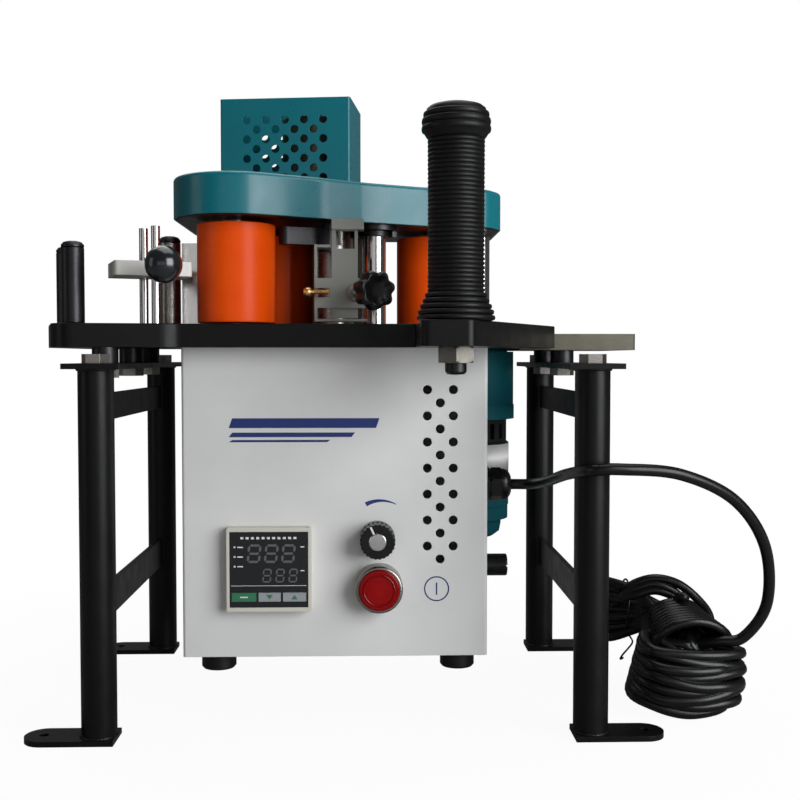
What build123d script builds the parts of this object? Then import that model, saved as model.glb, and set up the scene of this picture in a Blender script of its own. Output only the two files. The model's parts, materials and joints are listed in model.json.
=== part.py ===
"""Benchtop edge banding machine: one STEP file per piece, in millimetres.

Frame: z = 0 is the floor, x = y = 0 is the centre of the four foot bolt holes.
+X runs along the workpiece travel, +Y points from the control side to the panel side.
"""

from build123d import *
import math
import os

# ---- levels, from the floor up ----
FOOT_THICKNESS = 3.0
BOX_FOOT_BOTTOM = 25.2
BOX_BOTTOM = 34.2
STAND_TOP = 200.0
FLANGE_THICKNESS = 3.0
TABLE_BOTTOM = 210.7
TABLE_TOP = 220.7
PLATE_BOTTOM = 211.8
PLATE_TOP = 225.0
ROLLER_BOTTOM = 226.0
ROLLER_TOP = 282.6
TAPE_ROLLER_TOP = 266.9
GUIDE_ROLLER_TOP = 274.7
GEAR_PLATE_BOTTOM = 285.0
GEAR_PLATE_TOP = 288.0
GEAR_BOTTOM = 290.4
GEAR_TOP = 302.4
COVER_ROOF = 305.5
COVER_TOP = 308.5
HOPPER_TOP = 360.0
GUARD_TOP = 369.4

# ---- fits ----
RUNNING_CLEARANCE = 0.05
PRESS_GAP = 0.02
SHAFT_R = 5.0
BUSH_R = 8.0

# ---- stands ----
STAND_X = 133.0
LEG_Y = 91.5
LEG_R = 9.5
LEG_WALL = 1.5
FLANGE_HALF_WIDTH = 15.0
FLANGE_HALF_LENGTH = 105.0
FOOT_TIP_X = 173.0
UPPER_BRACE_Z = (171.5, 186.5)
LOWER_BRACE_Z = (62.0, 80.5)
FOOT_HALF_WIDTH = 11.0
FOOT_HOLE_X = 162.5
FOOT_HOLE_R = 2.5
BOLT_R = 4.0
BOLT_LENGTH = 17.0
BOLT_HEAD_HEIGHT = 5.0
BOLT_FLATS = 13.0
SPACER_R = 7.2
LEFT_SPACER_Y = (-70.0, -4.0, 48.0)
RIGHT_SPACER_Y = (4.0, 74.0)

# ---- gear train ----
GEAR_MODULE = 2.0
FEED_TEETH = 32
GLUE_TEETH = 38
PRESS_TEETH = 32
TRANSFER_MODULE = 1.0
MOTOR_TEETH = 20
OUTPUT_TEETH = 35
PRESSURE_ANGLE = math.radians(20.0)
ADDENDUM = 0.9
DEDENDUM = 1.25
BACKLASH = 0.12
GLUE_AXIS = (-10.1, 5.7)
FEED_DIRECTION = 219.15
PRESS_DIRECTION = 25.65
MOTOR_DIRECTION = 35.4


def polar(start, distance, degrees):
    angle = math.radians(degrees)
    return (start[0] + distance * math.cos(angle), start[1] + distance * math.sin(angle))


FEED_AXIS = polar(GLUE_AXIS, GEAR_MODULE * (FEED_TEETH + GLUE_TEETH) / 2, FEED_DIRECTION)
PRESS_AXIS = polar(GLUE_AXIS, GEAR_MODULE * (PRESS_TEETH + GLUE_TEETH) / 2, PRESS_DIRECTION)
MOTOR_AXIS = polar(PRESS_AXIS, TRANSFER_MODULE * (MOTOR_TEETH + OUTPUT_TEETH) / 2, MOTOR_DIRECTION)
TRANSFER_BOTTOM = 186.0
TRANSFER_TOP = 196.0

# ---- rollers, pins and rods on the base plate ----
TYRE_R = 22.5
GLUE_ROLLER_R = 13.0
GUIDE_AXIS = (-46.4, 36.0)
PINCH_AXIS = (-69.8, -8.0)
PINCH_R = 8.0
PINCH_PIVOT = (-95.0, 12.0)
STEEL_GUIDE_AXIS = (-107.1, -14.5)
STEEL_GUIDE_R = 6.4
TAPE_POST_R = 6.25
FRONT_TAPE_AXIS = (-151.6, -65.0)
REAR_TAPE_AXIS = (-163.2, -33.0)
SMALL_PIN_R = 3.0
ROD_R = 2.5
ROD_A = (-116.8, -43.8)
ROD_B = (-107.5, -56.5)
ROD_TOP = 280.0
CUTTER_PIVOT = (-12.0, -27.0)
POST_R = 7.25
POSTS = ((15.4, -13.0), (-84.0, 32.0), (84.0, 40.0))
PIPE_AXIS = (-13.0, 51.5)
PIPE_R = 5.0
HOPPER_AXIS = (-24.0, 46.0)
HOPPER_R = 20.0
PINCH_PIVOT_R = 4.0
PIN_SEATS = (
    (FRONT_TAPE_AXIS, SMALL_PIN_R), (REAR_TAPE_AXIS, SMALL_PIN_R), (STEEL_GUIDE_AXIS, SMALL_PIN_R),
    (PINCH_PIVOT, PINCH_PIVOT_R), (GUIDE_AXIS, SHAFT_R), (ROD_A, ROD_R), (ROD_B, ROD_R),
)

# ---- screws ----
SCREW_R = 2.45
SCREW_HEAD_R = 4.6
SCREW_LENGTH = 14.0
TABLE_SCREWS = ((114.5, 8.0), (114.5, 37.0), (114.5, 66.0))
COVER_SCREWS = ((85.0, 66.0), (81.0, -1.0), (-90.0, 22.0), (20.0, 68.0))

# ---- control box ----
BOX_X = (-94.5, 80.5)
BOX_Y = (-53.0, 14.0)
SHEET = 1.5
BOX_FEET_X = (-75.5, 64.0)
BOX_FEET_Y = (-40.0, 2.0)
CONTROLLER_CENTRE = (-44.5, 85.8)
BEZEL = 48.0
BEZEL_PROUD = 7.0
KEY_Z = (67.6, 72.7)
KEY_SPANS = {"key_set": (-65.6, -51.6), "key_down": (-50.4, -37.8), "key_up": (-36.6, -23.4)}
KEY_GAP = 0.2
KNOB_CENTRE = (17.2, 102.6)
BUTTON_CENTRE = (18.1, 74.7)
VENT_R = 2.6
GLAND_CENTRE = (-3.0, 127.6)
FUSE_CENTRE = (-5.0, 77.8)
POT_SHAFT_R = 3.0
CABLE_R = 3.2

# ---- handle ----
HANDLE_AXIS = (57.4, -113.0)
GRIP_TOP = 336.2
HANDLE_BOLT_R = 6.0
NUT_FLATS = 18.0
NUT_HEIGHT = 9.5


# ---- building blocks ----
def rod(centre, low, high, radius):
    """Vertical solid cylinder."""
    height = high - low
    return Pos(centre[0], centre[1], low + height / 2) * Cylinder(radius, height)


def rod_along_x(y, z, low, high, radius):
    length = high - low
    return Pos(low + length / 2, y, z) * Rot(0, 90, 0) * Cylinder(radius, length)


def rod_along_y(x, z, low, high, radius):
    length = high - low
    return Pos(x, low + length / 2, z) * Rot(90, 0, 0) * Cylinder(radius, length)


def block(x, y, z):
    """Box between the (low, high) pairs x, y and z."""
    size = (x[1] - x[0], y[1] - y[0], z[1] - z[0])
    centre = Pos((x[0] + x[1]) / 2, (y[0] + y[1]) / 2, (z[0] + z[1]) / 2)
    return centre * Box(*size)


def hexagon(centre, low, high, across_flats):
    outline = RegularPolygon(across_flats / 2, 6, major_radius=False)
    return Pos(centre[0], centre[1], low) * extrude(outline, high - low)


def lathe(centre, profile):
    """Solid turned about a vertical axis from (radius, height) points."""
    face = make_face(Polyline(*[(r, 0, z) for r, z in profile], close=True))
    return Pos(centre[0], centre[1], 0) * revolve(face, Axis.Z)


def rounded_outline(corners):
    """Face inside straight sides that meet in arcs; each corner is (x, y, radius)."""
    edges = []
    ends = []
    count = len(corners)
    for i, (x, y, radius) in enumerate(corners):
        corner = Vector(x, y)
        before = (Vector(*corners[i - 1][:2]) - corner).normalized()
        after = (Vector(*corners[(i + 1) % count][:2]) - corner).normalized()
        half = math.acos(max(-1.0, min(1.0, before.dot(after)))) / 2
        reach = radius / math.tan(half)
        middle = corner + (before + after).normalized() * (radius / math.sin(half) - radius)
        start = corner + before * reach
        end = corner + after * reach
        edges.append(ThreePointArc(start, middle, end))
        ends.append((start, end))
    for i in range(count):
        edges.append(Line(ends[i][1], ends[(i + 1) % count][0]))
    return make_face(Wire(edges))


def slab(corners, low, high):
    return Pos(0, 0, low) * extrude(rounded_outline(corners), high - low)


def together(*shapes):
    """Separate solids kept as one group."""
    return Compound(children=[part for shape in shapes for part in shape.solids()])


def save(name, shape):
    export_step(shape, "parts/" + name + ".step")


# ---- gears ----
def involute(angle):
    return math.tan(angle) - angle


def gear(centre, teeth, module, low, high, phase):
    """Spur gear with a tooth centred at the angle phase, in degrees."""
    pitch_r = teeth * module / 2
    base_r = pitch_r * math.cos(PRESSURE_ANGLE)
    tip_r = pitch_r + ADDENDUM * module
    root_r = pitch_r - DEDENDUM * module
    half_tooth = (math.pi * module / 2 - BACKLASH * module) / (2 * pitch_r)
    radii = [max(base_r, root_r) + (tip_r - max(base_r, root_r)) * i / 4 for i in range(5)]
    flank = []
    for radius in radii:
        angle = math.acos(min(1.0, base_r / radius))
        flank.append((radius, half_tooth + involute(PRESSURE_ANGLE) - involute(angle)))
    if root_r < base_r:
        flank.insert(0, (root_r, flank[0][1]))
    points = []
    for tooth in range(teeth):
        middle = math.radians(phase) + 2 * math.pi * tooth / teeth
        rising = [(r, middle - offset) for r, offset in flank]
        falling = [(r, middle + offset) for r, offset in reversed(flank)]
        points += [(r * math.cos(a), r * math.sin(a)) for r, a in rising + falling]
    outline = make_face(Polyline(*points, close=True))
    return Pos(centre[0], centre[1], low) * extrude(outline, high - low)


def meshing_phase(direction, teeth, other_phase, other_teeth):
    """Phase of a gear that meshes with another, seen from the other gear at this direction."""
    offset = (direction - other_phase) * other_teeth / 360
    return direction + 180 - (0.5 - offset) * 360 / teeth


# ---- stands ----
def stand(side):
    """Welded bracket: two tubes, a top flange, two foot bars and two braces."""
    x = side * STAND_X
    inner = x - side * LEG_R
    flange = block(
        sorted((x - FLANGE_HALF_WIDTH, x + FLANGE_HALF_WIDTH)),
        (-FLANGE_HALF_LENGTH, FLANGE_HALF_LENGTH),
        (STAND_TOP, STAND_TOP + FLANGE_THICKNESS),
    )
    body = flange
    for y in (-LEG_Y, LEG_Y):
        tube = rod((x, y), 0, STAND_TOP, LEG_R) - rod((x, y), FOOT_THICKNESS, 180, LEG_R - LEG_WALL)
        body += tube
        tip = side * (FOOT_TIP_X - FOOT_HALF_WIDTH)
        body += rod((tip, y), 0, FOOT_THICKNESS, FOOT_HALF_WIDTH)
        body += block(
            sorted((inner, tip)), (y - FOOT_HALF_WIDTH, y + FOOT_HALF_WIDTH), (0, FOOT_THICKNESS)
        )
    brace_x = (x - 1.5, x + 1.5)
    brace_y = (-LEG_Y + LEG_R - 0.5, LEG_Y - LEG_R + 0.5)
    body += block(brace_x, brace_y, UPPER_BRACE_Z)
    body += block(brace_x, brace_y, LOWER_BRACE_Z)
    for y in (-LEG_Y, LEG_Y):
        body -= rod((side * FOOT_HOLE_X, y), -1, FOOT_THICKNESS + 1, FOOT_HOLE_R)
        body -= rod((x, y), 180, STAND_TOP + FLANGE_THICKNESS + 1, BOLT_R + PRESS_GAP)
    for y in LEFT_SPACER_Y if side < 0 else RIGHT_SPACER_Y:
        body -= rod((x, y), 190, 210, BOLT_R + RUNNING_CLEARANCE)
    return body


def stand_spacer(centre, high):
    low = STAND_TOP + FLANGE_THICKNESS
    return rod(centre, low, high, SPACER_R) - rod(centre, low, high, BOLT_R + RUNNING_CLEARANCE)


def bolt(centre, seat, up):
    """Hex bolt with its head's seat at this height; up is True when the shank points up."""
    if up:
        head = hexagon(centre, seat - BOLT_HEAD_HEIGHT, seat, BOLT_FLATS)
        return head + rod(centre, seat, seat + BOLT_LENGTH, BOLT_R)
    head = hexagon(centre, seat, seat + BOLT_HEAD_HEIGHT, BOLT_FLATS)
    return head + rod(centre, seat - BOLT_LENGTH, seat, BOLT_R)


def build_stands():
    save("left_stand", stand(-1))
    save("right_stand", stand(1))
    left = [(-STAND_X, y) for y in LEFT_SPACER_Y]
    right = [(STAND_X, y) for y in RIGHT_SPACER_Y]
    spacers = [stand_spacer(c, PLATE_BOTTOM) for c in left]
    spacers += [stand_spacer(c, TABLE_BOTTOM) for c in right]
    save("stand_spacers", together(*spacers))
    bolts = [bolt(c, STAND_TOP, True) for c in left + right]
    top = STAND_TOP + FLANGE_THICKNESS
    bolts += [bolt((x, y), top, False) for x in (-STAND_X, STAND_X) for y in (-LEG_Y, LEG_Y)]
    save("stand_bolts", together(*bolts))


# ---- base plate and side table ----
def countersunk_cut(centre, top):
    """Space for a countersunk screw whose head is flush at this height."""
    head = lathe(
        centre,
        [(0, top - SCREW_HEAD_R + 1.8), (SCREW_R + 0.05, top - 2.4), (SCREW_HEAD_R + 0.1, top),
         (SCREW_HEAD_R + 0.1, top + 1), (0, top + 1)],
    )
    return head + rod(centre, top - SCREW_LENGTH - 0.5, top, SCREW_R + 0.05)


def countersunk_screw(centre, top):
    screw = lathe(
        centre,
        [(0, top - SCREW_LENGTH), (SCREW_R, top - SCREW_LENGTH), (SCREW_R, top - 2.3),
         (SCREW_HEAD_R, top - 0.1), (SCREW_HEAD_R, top), (0, top)],
    )
    socket = Pos(centre[0], centre[1], top - 1.6) * extrude(RegularPolygon(1.5, 6), 2)
    return screw - socket


def base_plate():
    outline = [
        (-155.4, -81.0, 12.0), (-100.0, -70.5, 16.0), (-94.0, -67.0, 8.0), (38.5, -67.0, 3.0),
        (38.5, -136.5, 4.5), (64.5, -136.5, 5.0), (124.6, -18.5, 3.0), (124.6, 76.0, 3.0),
        (-177.0, 76.0, 12.0), (-177.0, -25.0, 30.0), (-162.4, -72.0, 8.0),
    ]
    plate = slab(outline, PLATE_BOTTOM, PLATE_TOP)
    rim = plate.faces().sort_by(Axis.Z)[-1].edges()
    plate = fillet(rim, 0.8)
    plate -= block((105.0, 130.0), (-6.6, 80.0), (PLATE_BOTTOM - 1, TABLE_TOP))
    for axis in (FEED_AXIS, GLUE_AXIS, PRESS_AXIS):
        plate -= rod(axis, PLATE_BOTTOM - 1, PLATE_TOP + 1, BUSH_R)
    plate -= rod(HANDLE_AXIS, PLATE_BOTTOM - 1, PLATE_TOP + 1, HANDLE_BOLT_R + RUNNING_CLEARANCE)
    for y in LEFT_SPACER_Y:
        plate -= rod((-STAND_X, y), PLATE_BOTTOM - 1, PLATE_TOP - 6, BOLT_R + PRESS_GAP)
    for axis, radius in PIN_SEATS:
        plate -= rod(axis, PLATE_BOTTOM + 1, PLATE_TOP + 1, radius + PRESS_GAP)
    for centre in TABLE_SCREWS:
        plate -= countersunk_cut(centre, PLATE_TOP)
    return plate


def side_table():
    table = block((105.0, 176.5), (-6.6, 95.0), (TABLE_BOTTOM, TABLE_TOP))
    table = chamfer(table.edges().filter_by(Axis.Z).sort_by(Axis.X)[-2:], 1.0)
    for centre in TABLE_SCREWS:
        table -= rod(centre, TABLE_BOTTOM - 1, TABLE_TOP + 1, SCREW_R + RUNNING_CLEARANCE)
    for y in RIGHT_SPACER_Y:
        table -= rod((STAND_X, y), TABLE_BOTTOM - 1, TABLE_BOTTOM + 7, BOLT_R + PRESS_GAP)
    return table


def build_table():
    save("base_plate", base_plate())
    save("side_table", side_table())
    screws = [countersunk_screw(c, PLATE_TOP) for c in TABLE_SCREWS]
    screws += [countersunk_screw(c, COVER_TOP) for c in COVER_SCREWS]
    save("countersunk_screws", together(*screws))


# ---- control box ----
def vents():
    holes = [(45.8, 187.7 - 15 * k) for k in range(7)]
    holes += [(60.7, 187.7 - 15 * k) for k in range(7)]
    holes += [(53.2, 180.2 - 15 * k) for k in range(7)]
    return holes


def box_shell():
    outer = block(BOX_X, BOX_Y, (BOX_BOTTOM, PLATE_BOTTOM))
    front_edges = outer.edges().filter_by(Axis.Z).sort_by(Axis.Y)[:2]
    outer = fillet(front_edges, 1.8)
    inner = block(
        (BOX_X[0] + SHEET, BOX_X[1] - SHEET),
        (BOX_Y[0] + SHEET, BOX_Y[1] + 1),
        (BOX_BOTTOM + SHEET, PLATE_BOTTOM + 1),
    )
    shell = outer - inner
    front = (BOX_Y[0] - 1, BOX_Y[0] + SHEET + 1)
    cx, cz = CONTROLLER_CENTRE
    shell -= block((cx - 22.4, cx + 22.4), front, (cz - 22.4, cz + 22.4))
    shell -= rod_along_y(*KNOB_CENTRE, *front, 3.6)
    shell -= rod_along_y(*BUTTON_CENTRE, *front, 11.0)
    for x, z in vents():
        shell -= rod_along_y(x, z, *front, VENT_R)
    side = (BOX_X[1] - SHEET - 1, BOX_X[1] + 1)
    shell -= rod_along_x(*GLAND_CENTRE, *side, 8.0)
    shell -= rod_along_x(*FUSE_CENTRE, *side, 6.0)
    for x in BOX_FEET_X:
        for y in BOX_FEET_Y:
            shell -= rod((x, y), BOX_BOTTOM - 1, BOX_BOTTOM + SHEET + 1, 2.05)
    return shell


def box_foot(x, y):
    """Rubber foot with a moulded stud that snaps through the box floor."""
    low = BOX_FOOT_BOTTOM
    stud_top = BOX_BOTTOM + 4
    return lathe(
        (x, y),
        [(0, low), (9.0, low), (10.0, low + 1.2), (10.0, BOX_BOTTOM), (2.0, BOX_BOTTOM),
         (2.0, stud_top), (0, stud_top)],
    )


def box_back():
    x = (BOX_X[0] + SHEET, BOX_X[1] - SHEET)
    z = (BOX_BOTTOM + SHEET, PLATE_BOTTOM)
    back = block(x, (BOX_Y[1] - SHEET, BOX_Y[1]), z)
    for k in range(6):
        level = 60.0 + 9 * k
        back -= block((-30.0, 30.0), (BOX_Y[1] - 3, BOX_Y[1] + 1), (level, level + 3))
    return back


def key_openings(front, back):
    """One opening per key, a little larger than it, between these depths."""
    levels = (KEY_Z[0] - KEY_GAP, KEY_Z[1] + KEY_GAP)
    return [block((low - KEY_GAP, high + KEY_GAP), (front, back), levels) for low, high in KEY_SPANS.values()]


def controller_case():
    cx, cz = CONTROLLER_CENTRE
    half = BEZEL / 2
    face = BOX_Y[0] - BEZEL_PROUD
    bezel = block((cx - half, cx + half), (face, BOX_Y[0]), (cz - half, cz + half))
    bezel = fillet(bezel.edges().filter_by(Axis.Y), 1.2)
    case = bezel + block((cx - 22.2, cx + 22.2), (BOX_Y[0], 0.0), (cz - 22.2, cz + 22.2))
    case -= block((cx - 22.3, cx + 22.3), (face - 1, face + 1), (cz - 21.6, cz + 21.6))
    for opening in key_openings(face, face + 2.4):
        case -= opening
    return case


def controller_window():
    cx, cz = CONTROLLER_CENTRE
    face = BOX_Y[0] - BEZEL_PROUD
    window = block((cx - 22.25, cx + 22.25), (face + 0.2, face + 1), (cz - 21.5, cz + 21.5))
    for opening in key_openings(face - 1, face + 2):
        window -= opening
    return window


def controller_key(span):
    face = BOX_Y[0] - BEZEL_PROUD
    key = block(span, (face - 0.1, face + 1.7), KEY_Z)
    return fillet(key.edges().filter_by(Axis.Y), 0.5)


def potentiometer():
    x, z = KNOB_CENTRE
    inside = BOX_Y[0] + SHEET
    body = rod_along_y(x, z, inside, inside + 10, 8.5) + rod_along_y(x, z, BOX_Y[0], inside, 3.5)
    return body - rod_along_y(x, z, BOX_Y[0] - 1, inside + 7, POT_SHAFT_R + RUNNING_CLEARANCE)


def speed_knob():
    x, z = KNOB_CENTRE
    rear = BOX_Y[0] - 0.5
    front = rear - 15.0
    knob = rod_along_y(x, z, front, rear, 10.0)
    knob = chamfer(knob.edges().filter_by(GeomType.CIRCLE).sort_by(Axis.Y)[0], 0.8)
    flutes = 24
    for i in range(flutes):
        angle = 2 * math.pi * i / flutes
        fx = x + 10.3 * math.cos(angle)
        fz = z + 10.3 * math.sin(angle)
        knob -= rod_along_y(fx, fz, front - 1, rear - 4, 0.8)
    knob -= rod_along_y(x, z, front - 1, front + 0.6, 5.0)
    return knob + rod_along_y(x, z, rear, BOX_Y[0] + SHEET + 6, POT_SHAFT_R)


def button_housing():
    x, z = BUTTON_CENTRE
    wall = BOX_Y[0]
    ring = rod_along_y(x, z, wall - 12, wall, 13.5)
    ring = fillet(ring.edges().filter_by(GeomType.CIRCLE).sort_by(Axis.Y)[0], 1.4)
    body = ring + rod_along_y(x, z, wall, wall + 28, 10.95)
    return body - rod_along_y(x, z, wall - 13, wall - 4, 11.87)


def start_button():
    x, z = BUTTON_CENTRE
    wall = BOX_Y[0]
    cap = rod_along_y(x, z, wall - 13.5, wall - 8, 11.8)
    return fillet(cap.edges().filter_by(GeomType.CIRCLE).sort_by(Axis.Y)[0], 1.2)


def cable_gland():
    y, z = GLAND_CENTRE
    wall = BOX_X[1]
    turned = lathe(
        (0, 0),
        [(CABLE_R + 0.05, -10), (7.9, -10), (7.9, 0), (10.5, 0), (10.5, 3.0), (8.6, 3.2), (8.6, 5.0),
         (10.0, 5.2), (10.0, 15.5), (8.8, 20.0), (6.4, 24.0), (5.0, 25.0), (CABLE_R + 0.05, 25.0)],
    )
    return Pos(wall, y, z) * Rot(0, 90, 0) * turned


def fuse_holder():
    y, z = FUSE_CENTRE
    wall = BOX_X[1]
    holder = rod_along_x(y, z, wall, wall + 3, 8.5) + rod_along_x(y, z, wall - 22, wall, 5.95)
    return holder - rod_along_x(y, z, wall - 20, wall + 4, 3.5)


def fuse_cap():
    y, z = FUSE_CENTRE
    wall = BOX_X[1]
    cap = rod_along_x(y, z, wall + 3.2, wall + 17, 6.75)
    cap = fillet(cap.edges().filter_by(GeomType.CIRCLE).sort_by(Axis.X)[-1], 0.8)
    cap -= block((wall + 14.5, wall + 18), (y - 7, y + 7), (z - 0.8, z + 0.8))
    return cap + rod_along_x(y, z, wall - 18, wall + 3.2, 3.45)


def circuit_board():
    board = block((-70.0, 40.0), (4.0, 5.6), (118.0, 190.0))
    board += block((-60.0, -30.0), (-18.0, 4.0), (128.0, 160.0))
    board += block((-10.0, 4.0), (-10.0, 4.0), (130.0, 150.0))
    board += block((12.0, 34.0), (-8.0, 4.0), (150.0, 180.0))
    for k in range(3):
        board += rod_along_y(-15.0 + 12 * k, 178.0, -12.0, 4.0, 4.5)
    return board


def build_control_box():
    save("control_box_shell", box_shell())
    save("control_box_back", box_back())
    save("box_feet", together(*[box_foot(x, y) for x in BOX_FEET_X for y in BOX_FEET_Y]))
    save("controller_case", controller_case())
    save("controller_window", controller_window())
    for name, span in KEY_SPANS.items():
        save(name, controller_key(span))
    save("potentiometer", potentiometer())
    save("speed_knob", speed_knob())
    save("button_housing", button_housing())
    save("start_button", start_button())
    save("cable_gland", cable_gland())
    save("fuse_holder", fuse_holder())
    save("fuse_cap", fuse_cap())
    save("circuit_board", circuit_board())


# ---- power cable: the free lead, and the coiled rest of it as a plain bundle ----
def bundle_ring(centre, outside, inside, thickness):
    """Upright ring of coiled cord; outside and inside are (length, height) of its slots."""
    ring = SlotOverall(*outside) - SlotOverall(*inside)
    return Pos(*centre) * Rot(90, 0, 0) * Pos(0, 0, -thickness / 2) * extrude(ring, thickness)


def cord(points, radius):
    """Round cord through these points: straight lengths joined by slightly larger balls."""
    ball = Sphere(radius + 0.1)
    body = Pos(*points[0]) * ball
    for start, end in zip(points, points[1:]):
        along = end - start
        straight = Pos(0, 0, along.length / 2) * Cylinder(radius, along.length)
        body += Plane(origin=start, z_dir=along) * straight
        body += Pos(*end) * ball
    return body


def power_cable():
    y, z = GLAND_CENTRE
    wall = BOX_X[1]
    path = Spline(
        (wall + 30, y, z), (114.0, -30.0, 134.0), (116.5, -84.0, 143.5), (127.0, -107.0, 148.0),
        (145.0, -110.5, 150.5), (178.0, -104.0, 150.5), (214.0, -90.0, 136.0), (235.0, -76.0, 102.0),
        (235.0, -64.0, 68.0), (214.0, -52.0, 40.0),
        tangents=[(1, 0, 0), (-1, 0.2, -0.6)],
    )
    steps = 22
    lead = cord([path @ (i / steps) for i in range(steps + 1)], CABLE_R)
    lead += rod_along_x(y, z, wall - 12, wall + 30, CABLE_R)
    lobe = bundle_ring((190.0, -50.0, 25.0), (94.0, 49.0), (50.0, 8.0), 36.0)
    crown = bundle_ring((182.0, -42.0, 64.0), (44.0, 36.0), (24.0, 12.0), 30.0)
    return lead + lobe + crown


# ---- motor ----
def capsule_outline(first, first_r, second, second_r):
    """Face hugging two circles, with straight sides between them."""
    gap = math.dist(first, second)
    heading = math.atan2(second[1] - first[1], second[0] - first[0])
    spread = math.acos((first_r - second_r) / gap)
    corners = []
    for centre, radius in ((first, first_r), (second, second_r)):
        for angle in (heading + spread, heading - spread):
            corners.append((centre[0] + radius * math.cos(angle), centre[1] + radius * math.sin(angle)))
    side = make_face(Polyline(corners[0], corners[2], corners[3], corners[1], close=True))
    ends = [Pos(*first) * Circle(first_r), Pos(*second) * Circle(second_r)]
    return side + ends[0] + ends[1]


def motor_gearbox():
    def casting(motor_r, press_r, low, high):
        outline = capsule_outline(MOTOR_AXIS, motor_r, PRESS_AXIS, press_r)
        return Pos(0, 0, low) * extrude(outline, high - low)

    body = casting(33.0, 21.5, 166, 210) + casting(29.0, 21.5, 210, PLATE_BOTTOM)
    body += rod(MOTOR_AXIS, 166, 175, 33.5)
    body -= casting(25.0, 19.4, 174, PLATE_BOTTOM + 1)
    body -= rod(MOTOR_AXIS, 165, 175, 4.0 + RUNNING_CLEARANCE)
    return body - rod(PRESS_AXIS, 169, 175, SHAFT_R + RUNNING_CLEARANCE)


def motor_body():
    body = lathe(
        MOTOR_AXIS,
        [(0, 88), (20, 88), (24, 91), (25, 96), (25, 100), (29.5, 100), (29.5, 108), (30, 109),
         (30, 150), (28.5, 151), (28.5, 165), (30, 166), (24, 166), (24, 98), (4.05, 98), (4.05, 92),
         (0, 92)],
    )
    slots = 20
    for i in range(slots):
        slot = block((25.0, 31.0), (-2.0, 2.0), (153, 163))
        body -= Pos(*MOTOR_AXIS, 0) * Rot(0, 0, 360 * i / slots) * slot
    return body


def motor_rotor():
    shaft = rod(MOTOR_AXIS, 93, 198, 4.0)
    armature = rod(MOTOR_AXIS, 110, 146, 21.0)
    return shaft + armature + motor_pinion()


def motor_pinion():
    output_phase = meshing_phase(MOTOR_DIRECTION + 180, OUTPUT_TEETH, 0.0, MOTOR_TEETH)
    phase_shift = meshing_phase(MOTOR_DIRECTION, MOTOR_TEETH, output_phase, OUTPUT_TEETH)
    return gear(MOTOR_AXIS, MOTOR_TEETH, TRANSFER_MODULE, TRANSFER_BOTTOM + 1, TRANSFER_TOP - 1, phase_shift)


def build_motor():
    save("motor_gearbox", motor_gearbox())
    save("motor_body", motor_body())
    save("motor_rotor", motor_rotor())


# ---- driven rollers and gears ----
def drive_shaft(axis, low):
    return rod(axis, low, GEAR_TOP + 1, SHAFT_R)


def tyred_roller(axis, bore):
    roller = rod(axis, ROLLER_BOTTOM, ROLLER_TOP, TYRE_R)
    roller = fillet(roller.edges().filter_by(GeomType.CIRCLE), 0.8)
    return roller - rod(axis, ROLLER_BOTTOM - 1, ROLLER_TOP + 1, bore)


def bored_gear(axis, teeth, phase):
    wheel = gear(axis, teeth, GEAR_MODULE, GEAR_BOTTOM, GEAR_TOP, phase)
    return wheel - rod(axis, GEAR_BOTTOM - 1, GEAR_TOP + 1, SHAFT_R)


def press_shaft():
    output_phase = meshing_phase(MOTOR_DIRECTION + 180, OUTPUT_TEETH, 0.0, MOTOR_TEETH)
    output = gear(PRESS_AXIS, OUTPUT_TEETH, TRANSFER_MODULE, TRANSFER_BOTTOM, TRANSFER_TOP, output_phase)
    return drive_shaft(PRESS_AXIS, 169.5) + output


def glue_roller():
    roller = rod(GLUE_AXIS, ROLLER_BOTTOM, 282.0, GLUE_ROLLER_R)
    return roller + drive_shaft(GLUE_AXIS, 214)


def build_drive():
    save("feed_shaft", drive_shaft(FEED_AXIS, 214))
    save("feed_roller", tyred_roller(FEED_AXIS, SHAFT_R))
    save("press_shaft", press_shaft())
    save("press_roller", tyred_roller(PRESS_AXIS, SHAFT_R))
    save("glue_roller", glue_roller())
    save("glue_gear", bored_gear(GLUE_AXIS, GLUE_TEETH, 0.0))
    feed_phase = meshing_phase(FEED_DIRECTION, FEED_TEETH, 0.0, GLUE_TEETH)
    press_phase = meshing_phase(PRESS_DIRECTION, PRESS_TEETH, 0.0, GLUE_TEETH)
    save("feed_gear", bored_gear(FEED_AXIS, FEED_TEETH, feed_phase))
    save("press_gear", bored_gear(PRESS_AXIS, PRESS_TEETH, press_phase))


def bushes():
    group = []
    for axis in (FEED_AXIS, GLUE_AXIS, PRESS_AXIS):
        bore = rod(axis, PLATE_BOTTOM - 1, GEAR_BOTTOM, SHAFT_R + RUNNING_CLEARANCE)
        group.append(rod(axis, PLATE_BOTTOM, PLATE_TOP + 0.4, BUSH_R) - bore)
        upper = rod(axis, GEAR_PLATE_BOTTOM, GEAR_PLATE_TOP, BUSH_R)
        upper += rod(axis, GEAR_PLATE_TOP, GEAR_PLATE_TOP + 2, BUSH_R + 2)
        group.append(upper - bore)
    return together(*group)


# ---- idle rollers, their pins, rods and posts ----
def sleeve(axis, low, high, radius, pin_r):
    tube = rod(axis, low, high, radius)
    tube = fillet(tube.edges().filter_by(GeomType.CIRCLE), 0.5)
    return tube - rod(axis, low - 1, high + 1, pin_r + RUNNING_CLEARANCE)


def domed_pin(axis, sleeve_top, head_r, head_height):
    """Pin pressed into the base plate, with a domed head over its sleeve."""
    base = sleeve_top + 0.3
    return lathe(
        axis,
        [(0, PLATE_BOTTOM + 1), (SMALL_PIN_R, PLATE_BOTTOM + 1), (SMALL_PIN_R, base), (head_r, base),
         (head_r, base + head_height * 0.35), (head_r * 0.8, base + head_height * 0.8),
         (head_r * 0.45, base + head_height), (0, base + head_height)],
    )


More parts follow.
